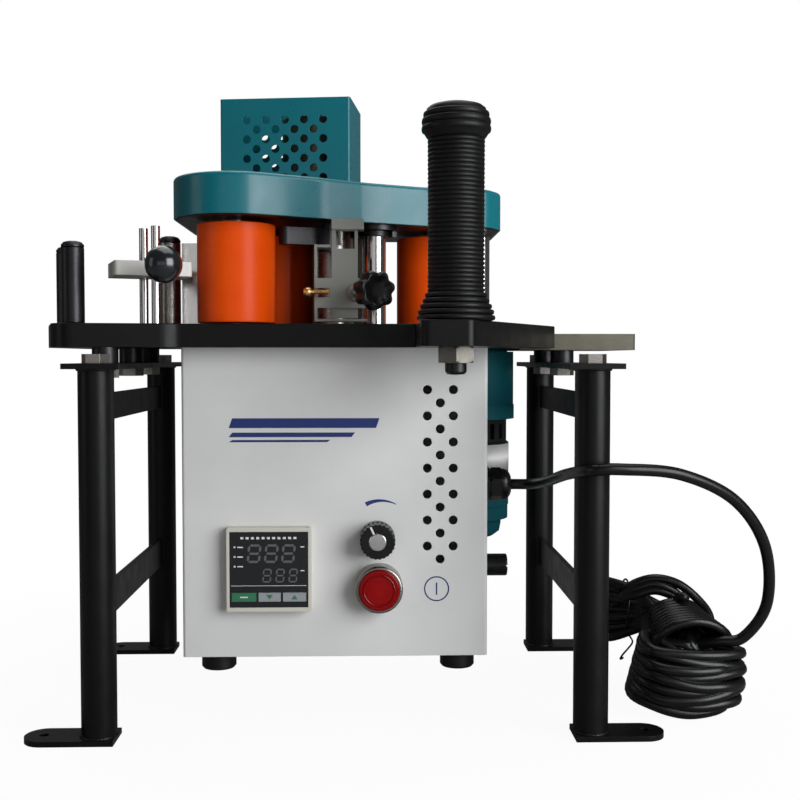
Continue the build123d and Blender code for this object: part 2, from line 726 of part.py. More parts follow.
def roller_pins():
    pins = [
        domed_pin(FRONT_TAPE_AXIS, TAPE_ROLLER_TOP, TAPE_POST_R, 3.3),
        domed_pin(REAR_TAPE_AXIS, TAPE_ROLLER_TOP, TAPE_POST_R, 3.3),
        domed_pin(STEEL_GUIDE_AXIS, GUIDE_ROLLER_TOP, STEEL_GUIDE_R, 3.7),
        rod(GUIDE_AXIS, PLATE_BOTTOM + 1, GEAR_PLATE_TOP, SHAFT_R),
        rod(PINCH_PIVOT, PLATE_BOTTOM + 1, 231.5, PINCH_PIVOT_R) + rod(PINCH_PIVOT, 231.5, 234.5, 6.0),
        rod(CUTTER_PIVOT, 268.5, 271.5, 5.0) + rod(CUTTER_PIVOT, 271.5, GEAR_PLATE_TOP, SMALL_PIN_R),
    ]
    return together(*pins)


def guide_rods():
    return together(*[rod(axis, PLATE_BOTTOM + 1, ROD_TOP, ROD_R) for axis in (ROD_A, ROD_B)])


def arm(first, second, low, high, width):
    """Flat link with round ends between two vertical axes."""
    length = math.dist(first, second)
    heading = math.degrees(math.atan2(second[1] - first[1], second[0] - first[0]))
    bar = Pos(length / 2, 0, (low + high) / 2) * Box(length, width, high - low)
    bar = Pos(first[0], first[1], 0) * Rot(0, 0, heading) * bar
    return bar + rod(first, low, high, width / 2) + rod(second, low, high, width / 2)


def pinch_arm():
    link = arm(PINCH_PIVOT, PINCH_AXIS, ROLLER_BOTTOM, 231, 12)
    link += rod(PINCH_AXIS, 231, 281, SMALL_PIN_R)
    return link - rod(PINCH_PIVOT, ROLLER_BOTTOM - 1, 232, PINCH_PIVOT_R + RUNNING_CLEARANCE)


def cutter_arm():
    tip = (-36.0, -36.0)
    lever = arm(CUTTER_PIVOT, tip, 272, 282, 8)
    return lever - rod(CUTTER_PIVOT, 271, 283, SMALL_PIN_R + RUNNING_CLEARANCE)


def build_guides():
    for name, axis in (("front_tape_roller", FRONT_TAPE_AXIS), ("rear_tape_roller", REAR_TAPE_AXIS)):
        save(name, sleeve(axis, PLATE_TOP + 0.3, TAPE_ROLLER_TOP, TAPE_POST_R, SMALL_PIN_R))
    steel_guide = sleeve(STEEL_GUIDE_AXIS, PLATE_TOP + 1, GUIDE_ROLLER_TOP, STEEL_GUIDE_R, SMALL_PIN_R)
    save("steel_guide_roller", steel_guide)
    save("guide_roller", tyred_roller(GUIDE_AXIS, SHAFT_R + RUNNING_CLEARANCE))
    save("pinch_roller", sleeve(PINCH_AXIS, 231.5, 280, PINCH_R, SMALL_PIN_R))
    save("pinch_arm", pinch_arm())
    save("cutter_arm", cutter_arm())
    save("roller_pins", roller_pins())
    save("guide_rods", guide_rods())
    save("support_posts", together(*[rod(axis, PLATE_TOP, GEAR_PLATE_BOTTOM, POST_R) for axis in POSTS]))
    save("infeed_plate", block((-100.0, -80.5), (-14.0, -12.0), (PLATE_TOP, GUIDE_ROLLER_TOP)))


# ---- tape guide: a block that slides on two rods, held by a ball knob's screw ----
GUIDE_YAW = 20.0
CLAMP_YAW = 17.0
GUIDE_BLOCK_CORNER = (-126.4, -74.0)
GUIDE_BLOCK_SIZE = (42.5, 32.0, 8.0)
GUIDE_BLOCK_BOTTOM = 251.5
BALL_R = 10.0
BALL_REACH = 38.0


def tape_guide_block():
    length, depth, height = GUIDE_BLOCK_SIZE
    body = Pos(length / 2, depth / 2, 0) * Box(length, depth, height)
    body = fillet(body.edges().filter_by(Axis.Z), 2.0)
    middle = GUIDE_BLOCK_BOTTOM + height / 2
    body = Pos(*GUIDE_BLOCK_CORNER, middle) * Rot(0, 0, GUIDE_YAW) * body
    for axis in (ROD_A, ROD_B):
        body -= rod(axis, GUIDE_BLOCK_BOTTOM - 1, GUIDE_BLOCK_BOTTOM + height + 1, ROD_R + RUNNING_CLEARANCE)
    return body - clamp_screw(BALL_REACH, 2.5 + RUNNING_CLEARANCE)


def clamp_screw(reach, radius):
    """Screw that ends just short of rod B and reaches forward to the ball's centre."""
    start = ROD_R + RUNNING_CLEARANCE
    stem = Pos(0, -(start + reach) / 2, 0) * Rot(90, 0, 0) * Cylinder(radius, reach - start)
    middle = GUIDE_BLOCK_BOTTOM + GUIDE_BLOCK_SIZE[2] / 2
    return Pos(ROD_B[0], ROD_B[1], middle) * Rot(0, 0, CLAMP_YAW) * stem


def ball_knob():
    centre = polar(ROD_B, BALL_REACH, CLAMP_YAW - 90)
    ball = Pos(centre[0], centre[1], GUIDE_BLOCK_BOTTOM + GUIDE_BLOCK_SIZE[2] / 2) * Sphere(BALL_R)
    return ball + clamp_screw(BALL_REACH, 2.5)


# ---- tape press: a bent sheet frame that slides along a hanging post ----
PRESS_POST_X = (-8.8, 6.0)
PRESS_POST_Y = (-49.5, -45.5)
FRAME_X = (-18.7, 11.3)
FRAME_Y = (-51.5, -36.0)
FRAME_Z = (226.7, 270.5)
BAND_Z = (234.4, 251.4)
STAR_BASE = (4.0, -50.5, 243.0)
STAR_TILT = 23.7
STAR_REACH = 34.0


def press_post():
    post = block(PRESS_POST_X, PRESS_POST_Y, (FRAME_Z[0] + SHEET + 0.4, GEAR_PLATE_BOTTOM))
    post -= block((-6.4, 4.2), (-55, -40), (268.2, 278.5))
    return post + block((-8.8, 9.5), (-52.0, -42.0), (279.0, GEAR_PLATE_BOTTOM))


def star_stem(low, high, radius):
    """Cylinder along the star knob's axis, between two distances from the band."""
    stem = Pos(0, -(low + high) / 2, 0) * Rot(90, 0, 0) * Cylinder(radius, high - low)
    return Pos(*STAR_BASE) * Rot(0, 0, STAR_TILT) * stem


def press_bracket():
    left, right = FRAME_X
    bottom, top = FRAME_Z
    bracket = block((left, left + SHEET), FRAME_Y, FRAME_Z)
    bracket += block((left, right), (FRAME_Y[0] + SHEET, FRAME_Y[1]), (bottom, bottom + SHEET))
    bracket += block((left, -9.5), (FRAME_Y[0] + SHEET, FRAME_Y[1]), (top - SHEET, top))
    bracket += block(FRAME_X, (FRAME_Y[0], FRAME_Y[0] + SHEET), BAND_Z)
    bracket += star_stem(-0.2, 5.0, 5.0) - block((-20, 20), (FRAME_Y[0] + SHEET, -30), (230, 260))
    bracket -= block((left - 1, -10.0), (FRAME_Y[0] - 1, FRAME_Y[0] + SHEET + 0.1), (240.5, 245.7))
    return bracket - star_stem(-4, 8, 3.0 + RUNNING_CLEARANCE)


def star_knob():
    lobes = 7
    middle = STAR_REACH - 6
    knob = star_stem(middle - 6, middle + 6, 8.6)
    for i in range(lobes):
        angle = 2 * math.pi * i / lobes
        lobe = Pos(8.0 * math.cos(angle), 0, 8.0 * math.sin(angle))
        lobe *= Rot(90, 0, 0) * Pos(0, 0, middle) * Cylinder(3.2, 12)
        knob += Pos(*STAR_BASE) * Rot(0, 0, STAR_TILT) * lobe
    return knob + star_stem(middle - 10, middle - 5, 6.0) + star_stem(0.3, middle, 3.0)


def build_tape_path():
    save("tape_guide_block", tape_guide_block())
    save("ball_knob", ball_knob())
    save("press_post", press_post())
    save("press_bracket", press_bracket())
    save("star_knob", star_knob())


# ---- gear plate, cover, glue system and heat guard ----
HOUSING = [
    (-99.9, -74.0, 35.5), (-55.3, -74.0, 35.5), (-13.0, -50.8, 70.0), (12.5, -33.5, 70.0),
    (46.0, -17.5, 40.0), (85.0, -10.5, 14.0), (94.5, 5.0, 14.0), (94.5, 77.0, 14.0), (-86.0, 77.0, 20.0),
    (-99.9, 40.0, 30.0),
]
COVER_WALL = 1.5


def gear_plate():
    outline = offset(rounded_outline(HOUSING), -COVER_WALL - 0.3)
    plate = Pos(0, 0, GEAR_PLATE_BOTTOM) * extrude(outline, GEAR_PLATE_TOP - GEAR_PLATE_BOTTOM)
    for centre in COVER_SCREWS:
        plate += rod(centre, GEAR_PLATE_TOP, COVER_ROOF, 4.2)
        plate -= rod(centre, COVER_TOP - SCREW_LENGTH - 1, COVER_ROOF + 1, SCREW_R + 0.05)
    for axis in (FEED_AXIS, GLUE_AXIS, PRESS_AXIS):
        plate -= rod(axis, GEAR_PLATE_BOTTOM - 1, GEAR_PLATE_TOP + 1, BUSH_R)
    plate -= rod(GUIDE_AXIS, GEAR_PLATE_BOTTOM - 1, GEAR_PLATE_TOP + 1, SHAFT_R + PRESS_GAP)
    plate -= rod(PIPE_AXIS, GEAR_PLATE_BOTTOM - 1, GEAR_PLATE_TOP + 1, PIPE_R + 0.5)
    return plate - rod(CUTTER_PIVOT, GEAR_PLATE_BOTTOM - 1, GEAR_PLATE_TOP + 1, SMALL_PIN_R + PRESS_GAP)


def gear_cover():
    outline = rounded_outline(HOUSING)
    skirt = GEAR_PLATE_BOTTOM + 0.3
    cover = Pos(0, 0, skirt) * extrude(outline, COVER_TOP - skirt)
    cover = fillet(cover.faces().sort_by(Axis.Z)[-1].edges(), 2.5)
    inside = offset(outline, -COVER_WALL)
    cover -= Pos(0, 0, skirt - 1) * extrude(inside, COVER_ROOF - skirt + 1)
    cover -= rod(PIPE_AXIS, COVER_ROOF - 1, COVER_TOP + 1, PIPE_R + 0.5)
    for centre in COVER_SCREWS:
        cover -= countersunk_cut(centre, COVER_TOP)
    return cover


POT_X = (-21.0, 14.0)
POT_Y = (8.0, 57.0)
POT_TOP = 281.0
HEATER_AXIS = (8.0, 40.0)


def glue_pot():
    pot = block(POT_X, POT_Y, (PLATE_TOP, POT_TOP))
    pot -= rod(GLUE_AXIS, PLATE_TOP - 1, POT_TOP + 1, GLUE_ROLLER_R + 0.6)
    pot -= block((-18.0, 1.0), (24.0, 54.0), (PLATE_TOP + 4, POT_TOP - 3))
    pot -= block((-12.5, -7.5), (17.0, 25.0), (PLATE_TOP + 8, POT_TOP - 8))
    pot -= rod(PIPE_AXIS, POT_TOP - 4, POT_TOP + 1, PIPE_R + PRESS_GAP - 2)
    return pot - rod(HEATER_AXIS, PLATE_TOP + 2, POT_TOP + 1, 5.0 + RUNNING_CLEARANCE)


def heater_cartridge():
    return rod(HEATER_AXIS, PLATE_TOP + 3, POT_TOP + 1, 5.0)


def glue_hopper():
    floor = COVER_TOP + 2.5
    hopper = rod(HOPPER_AXIS, COVER_TOP, HOPPER_TOP, HOPPER_R)
    hopper -= rod(HOPPER_AXIS, floor, HOPPER_TOP + 1, HOPPER_R - 2)
    hopper += rod(PIPE_AXIS, POT_TOP, floor, PIPE_R)
    return hopper - rod(PIPE_AXIS, POT_TOP - 1, floor + 1, PIPE_R - 2)


GUARD_CENTRE = (-37.4, 45.0)
GUARD_SIZE = (83.0, 52.0)
GUARD_SHEET = 1.2
GUARD_YAW = -7.0
GUARD_HOLE_R = 2.6
GUARD_COLUMN = 12.2
GUARD_ROW = 6.05
GUARD_ROWS = 8


def guard_holes():
    """(x, height) of the staggered holes: rows of five, then four."""
    holes = []
    for row in range(GUARD_ROWS):
        count = 5 if row % 2 == 0 else 4
        for i in range(count):
            holes.append(((i - (count - 1) / 2) * GUARD_COLUMN, GUARD_TOP - 13.5 - row * GUARD_ROW))
    return holes


def heat_guard():
    width, depth = GUARD_SIZE
    guard = block((-width / 2, width / 2), (-depth / 2, depth / 2), (COVER_TOP, GUARD_TOP))
    guard = fillet(guard.edges().filter_by(Axis.Z), 1.5)
    inner_x = width / 2 - GUARD_SHEET
    inner_y = depth / 2 - GUARD_SHEET
    guard -= block((-inner_x, inner_x), (-inner_y, inner_y), (COVER_TOP - 1, GUARD_TOP + 1))
    for x, z in guard_holes():
        guard -= rod_along_y(x, z, -depth, depth, GUARD_HOLE_R)
    return Pos(*GUARD_CENTRE, 0) * Rot(0, 0, GUARD_YAW) * guard


def build_head():
    save("gear_plate", gear_plate())
    save("gear_cover", gear_cover())
    save("bushes", bushes())
    save("glue_pot", glue_pot())
    save("heater_cartridge", heater_cartridge())
    save("glue_hopper", glue_hopper())
    save("heat_guard", heat_guard())


# ---- handle ----
def handle_grip():
    bore = HANDLE_BOLT_R + RUNNING_CLEARANCE
    profile = [
        (bore, PLATE_TOP), (20.5, PLATE_TOP), (20.5, 229), (18.5, 234), (17.0, 240), (15.4, 246),
        (14.75, 252), (14.75, 310), (15.6, 314), (17.9, 317), (17.9, 328), (16.0, 333),
        (11.0, 335.8), (6.0, GRIP_TOP), (0, GRIP_TOP), (0, 302), (bore, 302),
    ]
    return lathe(HANDLE_AXIS, profile)


def handle_fasteners():
    stud = rod(HANDLE_AXIS, 197, 300, HANDLE_BOLT_R)
    nut = hexagon(HANDLE_AXIS, PLATE_BOTTOM - NUT_HEIGHT, PLATE_BOTTOM, NUT_FLATS)
    return together(stud, nut - rod(HANDLE_AXIS, 190, 220, HANDLE_BOLT_R + PRESS_GAP))


def main():
    os.makedirs("parts", exist_ok=True)
    build_stands()
    build_table()
    build_control_box()
    save("power_cable", power_cable())
    build_motor()
    build_drive()
    build_guides()
    build_tape_path()
    build_head()
    save("handle_grip", handle_grip())
    save("handle_fasteners", handle_fasteners())


main()
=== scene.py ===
"""Looks of the benchtop edge banding machine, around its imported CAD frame. Everything is in metres."""

import json
import math

import bmesh
import bpy
from mathutils import Matrix, Vector


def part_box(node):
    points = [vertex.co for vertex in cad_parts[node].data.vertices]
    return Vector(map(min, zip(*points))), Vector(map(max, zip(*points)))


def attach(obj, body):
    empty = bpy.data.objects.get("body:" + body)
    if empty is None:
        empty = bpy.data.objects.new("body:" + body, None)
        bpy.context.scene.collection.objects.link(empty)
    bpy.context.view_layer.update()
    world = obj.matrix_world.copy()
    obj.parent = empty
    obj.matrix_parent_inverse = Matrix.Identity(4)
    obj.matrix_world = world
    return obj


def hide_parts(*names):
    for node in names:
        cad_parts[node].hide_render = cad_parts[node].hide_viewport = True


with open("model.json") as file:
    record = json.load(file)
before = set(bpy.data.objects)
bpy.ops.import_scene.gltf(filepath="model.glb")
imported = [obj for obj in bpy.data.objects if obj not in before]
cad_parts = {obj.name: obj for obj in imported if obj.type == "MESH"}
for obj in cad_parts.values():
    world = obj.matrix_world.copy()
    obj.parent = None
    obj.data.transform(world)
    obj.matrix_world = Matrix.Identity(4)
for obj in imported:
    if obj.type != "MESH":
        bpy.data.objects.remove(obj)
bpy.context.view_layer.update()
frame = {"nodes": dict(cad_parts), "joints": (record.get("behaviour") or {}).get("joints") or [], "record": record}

nodes = frame["nodes"]
MM = 0.001
TAU = 2 * math.pi
LEG_X = 133 * MM
LEG_Y = 91.5 * MM
LEG_R = 9.5 * MM
FOOT_THICKNESS = 3 * MM
FLANGE_THICKNESS = 3 * MM


def in_mm(points):
    """The same points in metres, from points in millimetres."""
    return [tuple(value * MM for value in point) for point in points]


# ---------------------------------------------------------------- shader nodes
class Shader:
    """A Principled material and short calls for the nodes that the materials share."""

    def __init__(self, name, **surface):
        self.material = bpy.data.materials.new(name)
        self.material.use_nodes = True
        self.tree = self.material.node_tree
        self.surface = self.tree.nodes["Principled BSDF"]
        self.place = self.tree.nodes.new("ShaderNodeTexCoord").outputs["Object"]
        self.set(self.surface, surface)

    def set(self, node, values):
        for key, value in values.items():
            name = key.replace("_", " ") if isinstance(key, str) else key
            socket = node.inputs[name]
            if isinstance(value, bpy.types.NodeSocket):
                self.tree.links.new(value, socket)
            else:
                socket.default_value = value

    def add(self, kind, values=None, **settings):
        node = self.tree.nodes.new("ShaderNode" + kind)
        for key, value in settings.items():
            setattr(node, key, value)
        self.set(node, values or {})
        return node

    def stretched(self, stretch):
        node = self.add("Mapping", {"Vector": self.place})
        node.inputs["Scale"].default_value = stretch
        return node.outputs[0]

    def noise(self, size, detail=2.0, rough=0.5, stretch=None):
        """Cloud noise whose features are about this many metres across."""
        place = self.stretched(stretch) if stretch else self.place
        node = self.add(
            "TexNoise", {"Vector": place, "Scale": 1 / size, "Detail": detail, "Roughness": rough}
        )
        return node.outputs["Fac"]

    def span(self, value, low, high, out_low=0.0, out_high=1.0):
        """Maps the range low to high onto out_low to out_high, clamped."""
        values = {0: value, 1: low, 2: high, 3: out_low, 4: out_high}
        return self.add("MapRange", values).outputs[0]

    def math(self, operation, a, b=0.0):
        return self.add("Math", {0: a, 1: b}, operation=operation).outputs[0]

    def blend(self, share, first, second):
        node = self.add("Mix", {0: share, 6: first, 7: second}, data_type="RGBA")
        return node.outputs[2]

    def tint(self, colour, size, amount):
        """The colour, a little darker and lighter in soft patches."""
        low = [c * (1 - amount) for c in colour[:3]] + [1]
        high = [min(1, c * (1 + amount)) for c in colour[:3]] + [1]
        return self.blend(self.noise(size, 3), low, high)

    def bump(self, height, depth, normal=None):
        values = {"Height": height, "Distance": depth, "Strength": 1.0}
        if normal is not None:
            values["Normal"] = normal
        return self.add("Bump", values).outputs[0]

    def rounded(self, radius):
        """Normals that turn softly over sharp edges."""
        return self.add("Bevel", {"Radius": radius}, samples=4).outputs[0]

    def edges(self, radius):
        """0 on flat ground, rising at sharp edges."""
        bevel = self.rounded(radius)
        flat = self.add("NewGeometry").outputs["Normal"]
        dot = self.add("VectorMath", {0: bevel, 1: flat}, operation="DOT_PRODUCT").outputs["Value"]
        return self.span(dot, 1.0, 0.75)


def rgba(colour):
    return (*colour, 1.0)


# ---------------------------------------------------------------- materials
def paint_shader(name, colour, roughness, peel=0.7, wear=0.5, bare=(0.20, 0.20, 0.21), coat=0.0, shine=0.5):
    """Powder coat or enamel: orange peel, soft shade patches, and rubbed edges."""
    s = Shader(name, Coat_Weight=coat, Coat_Roughness=0.12, Specular_IOR_Level=shine)
    rubbed = s.math("MULTIPLY", s.edges(0.5 * MM), s.span(s.noise(5 * MM, 4, 0.7), 0.52, 0.72, 0, wear))
    s.set(s.surface, {
        "Base Color": s.blend(rubbed, s.tint(colour, 45 * MM, 0.10), rgba(bare)),
        "Roughness": s.span(s.noise(12 * MM, 4), 0.3, 0.7, roughness * 0.85, roughness * 1.2),
    })
    skin = s.bump(s.noise(peel * MM, 2), 0.02 * MM, s.rounded(0.4 * MM))
    s.set(s.surface, {"Normal": skin})
    return s


def painted(name, colour, roughness, **look):
    return paint_shader(name, colour, roughness, **look).material


def bare_metal(name, colour, roughness, stretch=(1, 1, 1), grain=0.4, tarnish=0.12):
    """Turned, ground or milled metal, its grain drawn out along the stretched axes."""
    s = Shader(name, Metallic=1.0)
    lines = s.noise(grain * MM, 3, 0.6, stretch)
    s.set(s.surface, {
        "Base Color": s.blend(s.noise(9 * MM, 4), rgba([c * (1 - tarnish) for c in colour]), rgba(colour)),
        "Roughness": s.span(lines, 0.3, 0.7, roughness * 0.7, roughness * 1.35),
        "Normal": s.bump(lines, 0.0015 * MM, s.rounded(0.3 * MM)),
    })
    return s.material


def moulded(name, colour, roughness, grain=0.5, depth=0.01, **surface):
    """Moulded plastic or rubber with a fine even grain."""
    s = Shader(name, **surface)
    s.set(s.surface, {
        "Base Color": s.tint(colour, 20 * MM, 0.08),
        "Roughness": s.span(s.noise(6 * MM, 4), 0.3, 0.7, roughness * 0.85, roughness * 1.2),
        "Normal": s.bump(s.noise(grain * MM, 3), depth * MM, s.rounded(0.3 * MM)),
    })
    return s.material


def silicone():
    """Orange silicone tyre: slightly translucent, with faint dusty bands round it."""
    s = Shader("orange_silicone", Subsurface_Weight=0.15, Subsurface_Scale=2 * MM, Specular_IOR_Level=0.15)
    s.surface.inputs["Subsurface Radius"].default_value = (1.0, 0.25, 0.05)
    bands = s.noise(5 * MM, 4, 0.6, (0.2, 0.2, 1.0))
    dust = s.span(s.noise(2 * MM, 5, 0.7), 0.62, 0.80, 0, 0.12)
    base = s.blend(bands, (0.88, 0.070, 0.001, 1), (0.95, 0.105, 0.002, 1))
    s.set(s.surface, {
        "Base Color": s.blend(dust, base, (0.75, 0.32, 0.16, 1)),
        "Roughness": s.span(bands, 0.3, 0.7, 0.30, 0.42),
        "Normal": s.bump(s.noise(0.6 * MM, 3), 0.012 * MM),
    })
    return s.material


def motor_skin():
    """Teal enamel, with the ventilated band round the motor in black plastic."""
    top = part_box("motor_body")[1].z
    bottom = top - 16 * MM
    step = 0.1 * MM
    s = paint_shader("motor_skin", (0.002, 0.045, 0.058), 0.50, wear=0.1, bare=(0.02, 0.08, 0.10), shine=0.08)
    height = s.add("SeparateXYZ", {0: s.place}).outputs["Z"]
    above = s.span(height, bottom - step, bottom)
    below = s.span(height, top + step, top)
    colour = s.surface.inputs["Base Color"].links[0].from_socket
    inside = s.math("MULTIPLY", above, below)
    s.set(s.surface, {"Base Color": s.blend(inside, colour, (0.012, 0.012, 0.013, 1))})
    return s.material


def window_glass():
    """Dark glossy window with faint finger smears in its roughness."""
    s = Shader("window_dark", Coat_Weight=0.6, Coat_Roughness=0.04)
    s.set(s.surface, {
        "Base Color": s.tint((0.006, 0.0065, 0.008), 8 * MM, 0.2),
        "Roughness": s.span(s.noise(4 * MM, 5, 0.7, (1, 1, 0.4)), 0.4, 0.7, 0.10, 0.24),
    })
    return s.material


def red_lens(centre):
    """Translucent red cap, its moulded rings showing through, with painted shade darkening it from its centre
    towards its rim.
    """
    s = Shader("red_lens", Coat_Weight=0.05, Coat_Roughness=0.08, Specular_IOR_Level=0.2)
    s.set(s.surface, {"Subsurface_Weight": 0.25, "Subsurface_Scale": 3 * MM})
    s.surface.inputs["Subsurface Radius"].default_value = (1.0, 0.05, 0.05)
    offset = s.add("VectorMath", {0: s.place, 1: centre}, operation="SUBTRACT").outputs[0]
    flat = s.add("VectorMath", {0: offset, 1: (1, 0, 1)}, operation="MULTIPLY").outputs[0]
    radius = s.add("VectorMath", {0: flat}, operation="LENGTH").outputs["Value"]
    rings = s.math("SINE", s.math("MULTIPLY", radius, TAU / (1.1 * MM)))
    # Painted shade: the cap's red is brighter at the centre and darker towards the rim.
    shade = s.span(radius, 0, 12 * MM, 1.0, 0.5)
    painted_shade_red = s.blend(shade, (0.10, 0.0, 0.001, 1), (0.30, 0.001, 0.002, 1))
    s.set(s.surface, {
        "Base Color": painted_shade_red,
        "Roughness": s.span(s.noise(3 * MM, 4), 0.3, 0.7, 0.16, 0.26),
        "Normal": s.bump(rings, 0.02 * MM, s.rounded(0.4 * MM)),
    })
    return s.material


def studio_floor():
    """Pale floor: nearly white to the camera, darker as a light source, so undersides stay dark."""
    s = Shader("studio_floor", Roughness=0.9, Specular_IOR_Level=0.1)
    seen = s.add("LightPath").outputs["Is Camera Ray"]
    lit = s.tint((0.30, 0.30, 0.30), 0.35, 0.02)
    s.set(s.surface, {"Base Color": s.blend(seen, lit, (0.85, 0.85, 0.85, 1))})
    white = s.add("Emission", {"Color": (1, 1, 1, 1), "Strength": 1.0})
    reach = s.add("VectorMath", {0: s.place}, operation="LENGTH").outputs["Value"]
    share = s.math("MULTIPLY", s.span(reach, 0.15, 0.45, 0.94, 1.0), seen)
    mixed = s.add("MixShader", {0: share, 1: s.surface.outputs[0], 2: white.outputs[0]})
    output = next(n for n in s.tree.nodes if n.type == "OUTPUT_MATERIAL")
    s.tree.links.new(mixed.outputs[0], output.inputs["Surface"])
    return s.material


TEAL = (0.004, 0.150, 0.185)
BLACK = (0.0035, 0.0035, 0.0040)

MATERIALS = {
    "black_paint": painted("black_paint", BLACK, 0.36, bare=(0.03, 0.03, 0.033), shine=0.2),
    "teal_paint": painted("teal_paint", TEAL, 0.30, wear=0.35, bare=(0.05, 0.22, 0.25), coat=0.15,
        shine=0.35),
    "white_paint": painted("white_paint", (0.69, 0.69, 0.68), 0.42, wear=0.3, bare=(0.4, 0.4, 0.4)),
    "grey_paint": painted("grey_paint", (0.31, 0.31, 0.285), 0.38, wear=0.5, bare=(0.6, 0.6, 0.58)),
    "orange_silicone": silicone(),
    "steel": bare_metal("steel", (0.34, 0.32, 0.30), 0.32, (0.15, 0.15, 1)),
    "chrome": bare_metal("chrome", (0.62, 0.61, 0.60), 0.14, (1, 1, 0.2), tarnish=0.06),
    "bare_aluminium": bare_metal("bare_aluminium", (0.145, 0.135, 0.108), 0.42, (0.06, 1, 1), 0.5,
        tarnish=0.3),
    "bronze": bare_metal("bronze", (0.60, 0.38, 0.16), 0.35),
    "black_oxide": bare_metal("black_oxide", (0.045, 0.045, 0.048), 0.38, tarnish=0.3),
    "black_plastic": moulded("black_plastic", (0.005, 0.005, 0.0055), 0.30, 0.4, 0.012,
        Specular_IOR_Level=0.35),
    "cream_plastic": moulded("cream_plastic", (0.62, 0.60, 0.52), 0.42, 0.4, 0.015),
    "dark_window": window_glass(),
    "green_key": moulded("green_key", (0.03, 0.17, 0.085), 0.35, Coat_Weight=0.3),
    "grey_key": moulded("grey_key", (0.30, 0.32, 0.34), 0.35, Coat_Weight=0.3),
    "red_plastic": red_lens(tuple((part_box("start_button")[0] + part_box("start_button")[1]) / 2)),
    "nylon": moulded("nylon", (0.72, 0.71, 0.67), 0.38, 0.8, 0.02, Subsurface_Weight=0.2,
        Subsurface_Scale=2 * MM),
    "rubber": moulded("rubber", (0.004, 0.004, 0.004), 0.44, 0.35, 0.02, Specular_IOR_Level=0.28),
    "board_green": moulded("board_green", (0.02, 0.13, 0.05), 0.4),
}
MOTOR_SKIN = motor_skin()
CASTING = painted("teal_casting", (0.003, 0.085, 0.105), 0.5, peel=1.4, wear=0.2, bare=(0.02, 0.12, 0.14),
    shine=0.12)
ZINC = bare_metal("zinc", (0.27, 0.255, 0.225), 0.55, tarnish=0.4)
BRASS = bare_metal("brass", (0.72, 0.47, 0.20), 0.28)
SILVER = bare_metal("silver_inlay", (0.78, 0.78, 0.79), 0.22)
INK_BLUE = moulded("ink_blue", (0.010, 0.028, 0.16), 0.35, 0.3, 0.004)
INK_WHITE = moulded("ink_white", (0.75, 0.75, 0.73), 0.4, 0.3, 0.004)
INK_GREY = moulded("ink_grey", (0.11, 0.12, 0.12), 0.3, 0.3, 0.004)
LABEL = moulded("label_paper", (0.70, 0.70, 0.68), 0.5, 0.5, 0.01)
CORD = moulded("cord_pvc", (0.004, 0.004, 0.0045), 0.30, 0.5, 0.02, Specular_IOR_Level=0.35)
GLOSS_BLACK = moulded("gloss_black", (0.010, 0.012, 0.015), 0.20, 0.6, 0.004, Coat_Weight=0.5,
    Coat_Roughness=0.15)
WELD = painted("weld_paint", BLACK, 0.34, peel=0.5, wear=0.1, shine=0.3)


def dress_cad_nodes():
    """Gives each CAD node its slot's material."""
    slots = {row["node"]: row["material_slot"] for row in frame["record"]["subparts"]}
    for name, obj in nodes.items():
        obj.data.materials.clear()
        obj.data.materials.append(MATERIALS[slots[name]])
    nodes["motor_body"].data.materials[0] = MOTOR_SKIN
    nodes["motor_gearbox"].data.materials[0] = CASTING


# ---------------------------------------------------------------- mesh tools
def mesh_object(name, points, faces, smooth=True):
    mesh = bpy.data.meshes.new(name)
    mesh.from_pydata([tuple(p) for p in points], [], faces)
    mesh.validate()
    tidy = bmesh.new()
    tidy.from_mesh(mesh)
    bmesh.ops.remove_doubles(tidy, verts=tidy.verts, dist=1e-7)
    bmesh.ops.recalc_face_normals(tidy, faces=tidy.faces)
    tidy.to_mesh(mesh)
    tidy.free()
    obj = bpy.data.objects.new(name, mesh)
    bpy.context.scene.collection.objects.link(obj)
    if smooth:
        for face in mesh.polygons:
            face.use_smooth = True
    return obj


def lathe(name, profile, segments=64, sharp=30):
    """Closed solid turned about Z from (radius, height) points, bottom to top."""
    points = []
    faces = []
    count = len(profile)
    for radius, height in profile:
        for i in range(segments):
            angle = TAU * i / segments
            points.append((radius * math.cos(angle), radius * math.sin(angle), height))
    for row in range(count - 1):
        for i in range(segments):
            j = (i + 1) % segments
            a, b = row * segments, (row + 1) * segments
            faces.append((a + i, a + j, b + j, b + i))
    faces.append(tuple(reversed(range(segments))))
    faces.append(tuple(range((count - 1) * segments, count * segments)))
    obj = mesh_object(name, points, faces)
    split_edges(obj, sharp)
    return obj


def split_edges(obj, degrees):
    """Keeps edges sharper than this crisp under smooth shading."""
    obj.data.set_sharp_from_angle(angle=math.radians(degrees))


def pipe(name, path, radius, sides=14):
    """Round tube along a path of points, with closed ends."""
    path = [Vector(p) for p in path]
    ahead = [(path[min(i + 1, len(path) - 1)] - path[max(i - 1, 0)]).normalized() for i in range(len(path))]
    side = ahead[0].orthogonal().normalized()
    points = []
    faces = []
    for i, centre in enumerate(path):
        side = (side - ahead[i] * side.dot(ahead[i])).normalized()
        other = ahead[i].cross(side)
        size = radius(i / (len(path) - 1)) if callable(radius) else radius
        for k in range(sides):
            angle = TAU * k / sides
            points.append(centre + (side * math.cos(angle) + other * math.sin(angle)) * size)
        if i:
            for k in range(sides):
                j = (k + 1) % sides
                faces.append(((i - 1) * sides + k, (i - 1) * sides + j, i * sides + j, i * sides + k))
    faces.append(tuple(reversed(range(sides))))
    faces.append(tuple(range((len(path) - 1) * sides, len(path) * sides)))
    return mesh_object(name, points, faces)


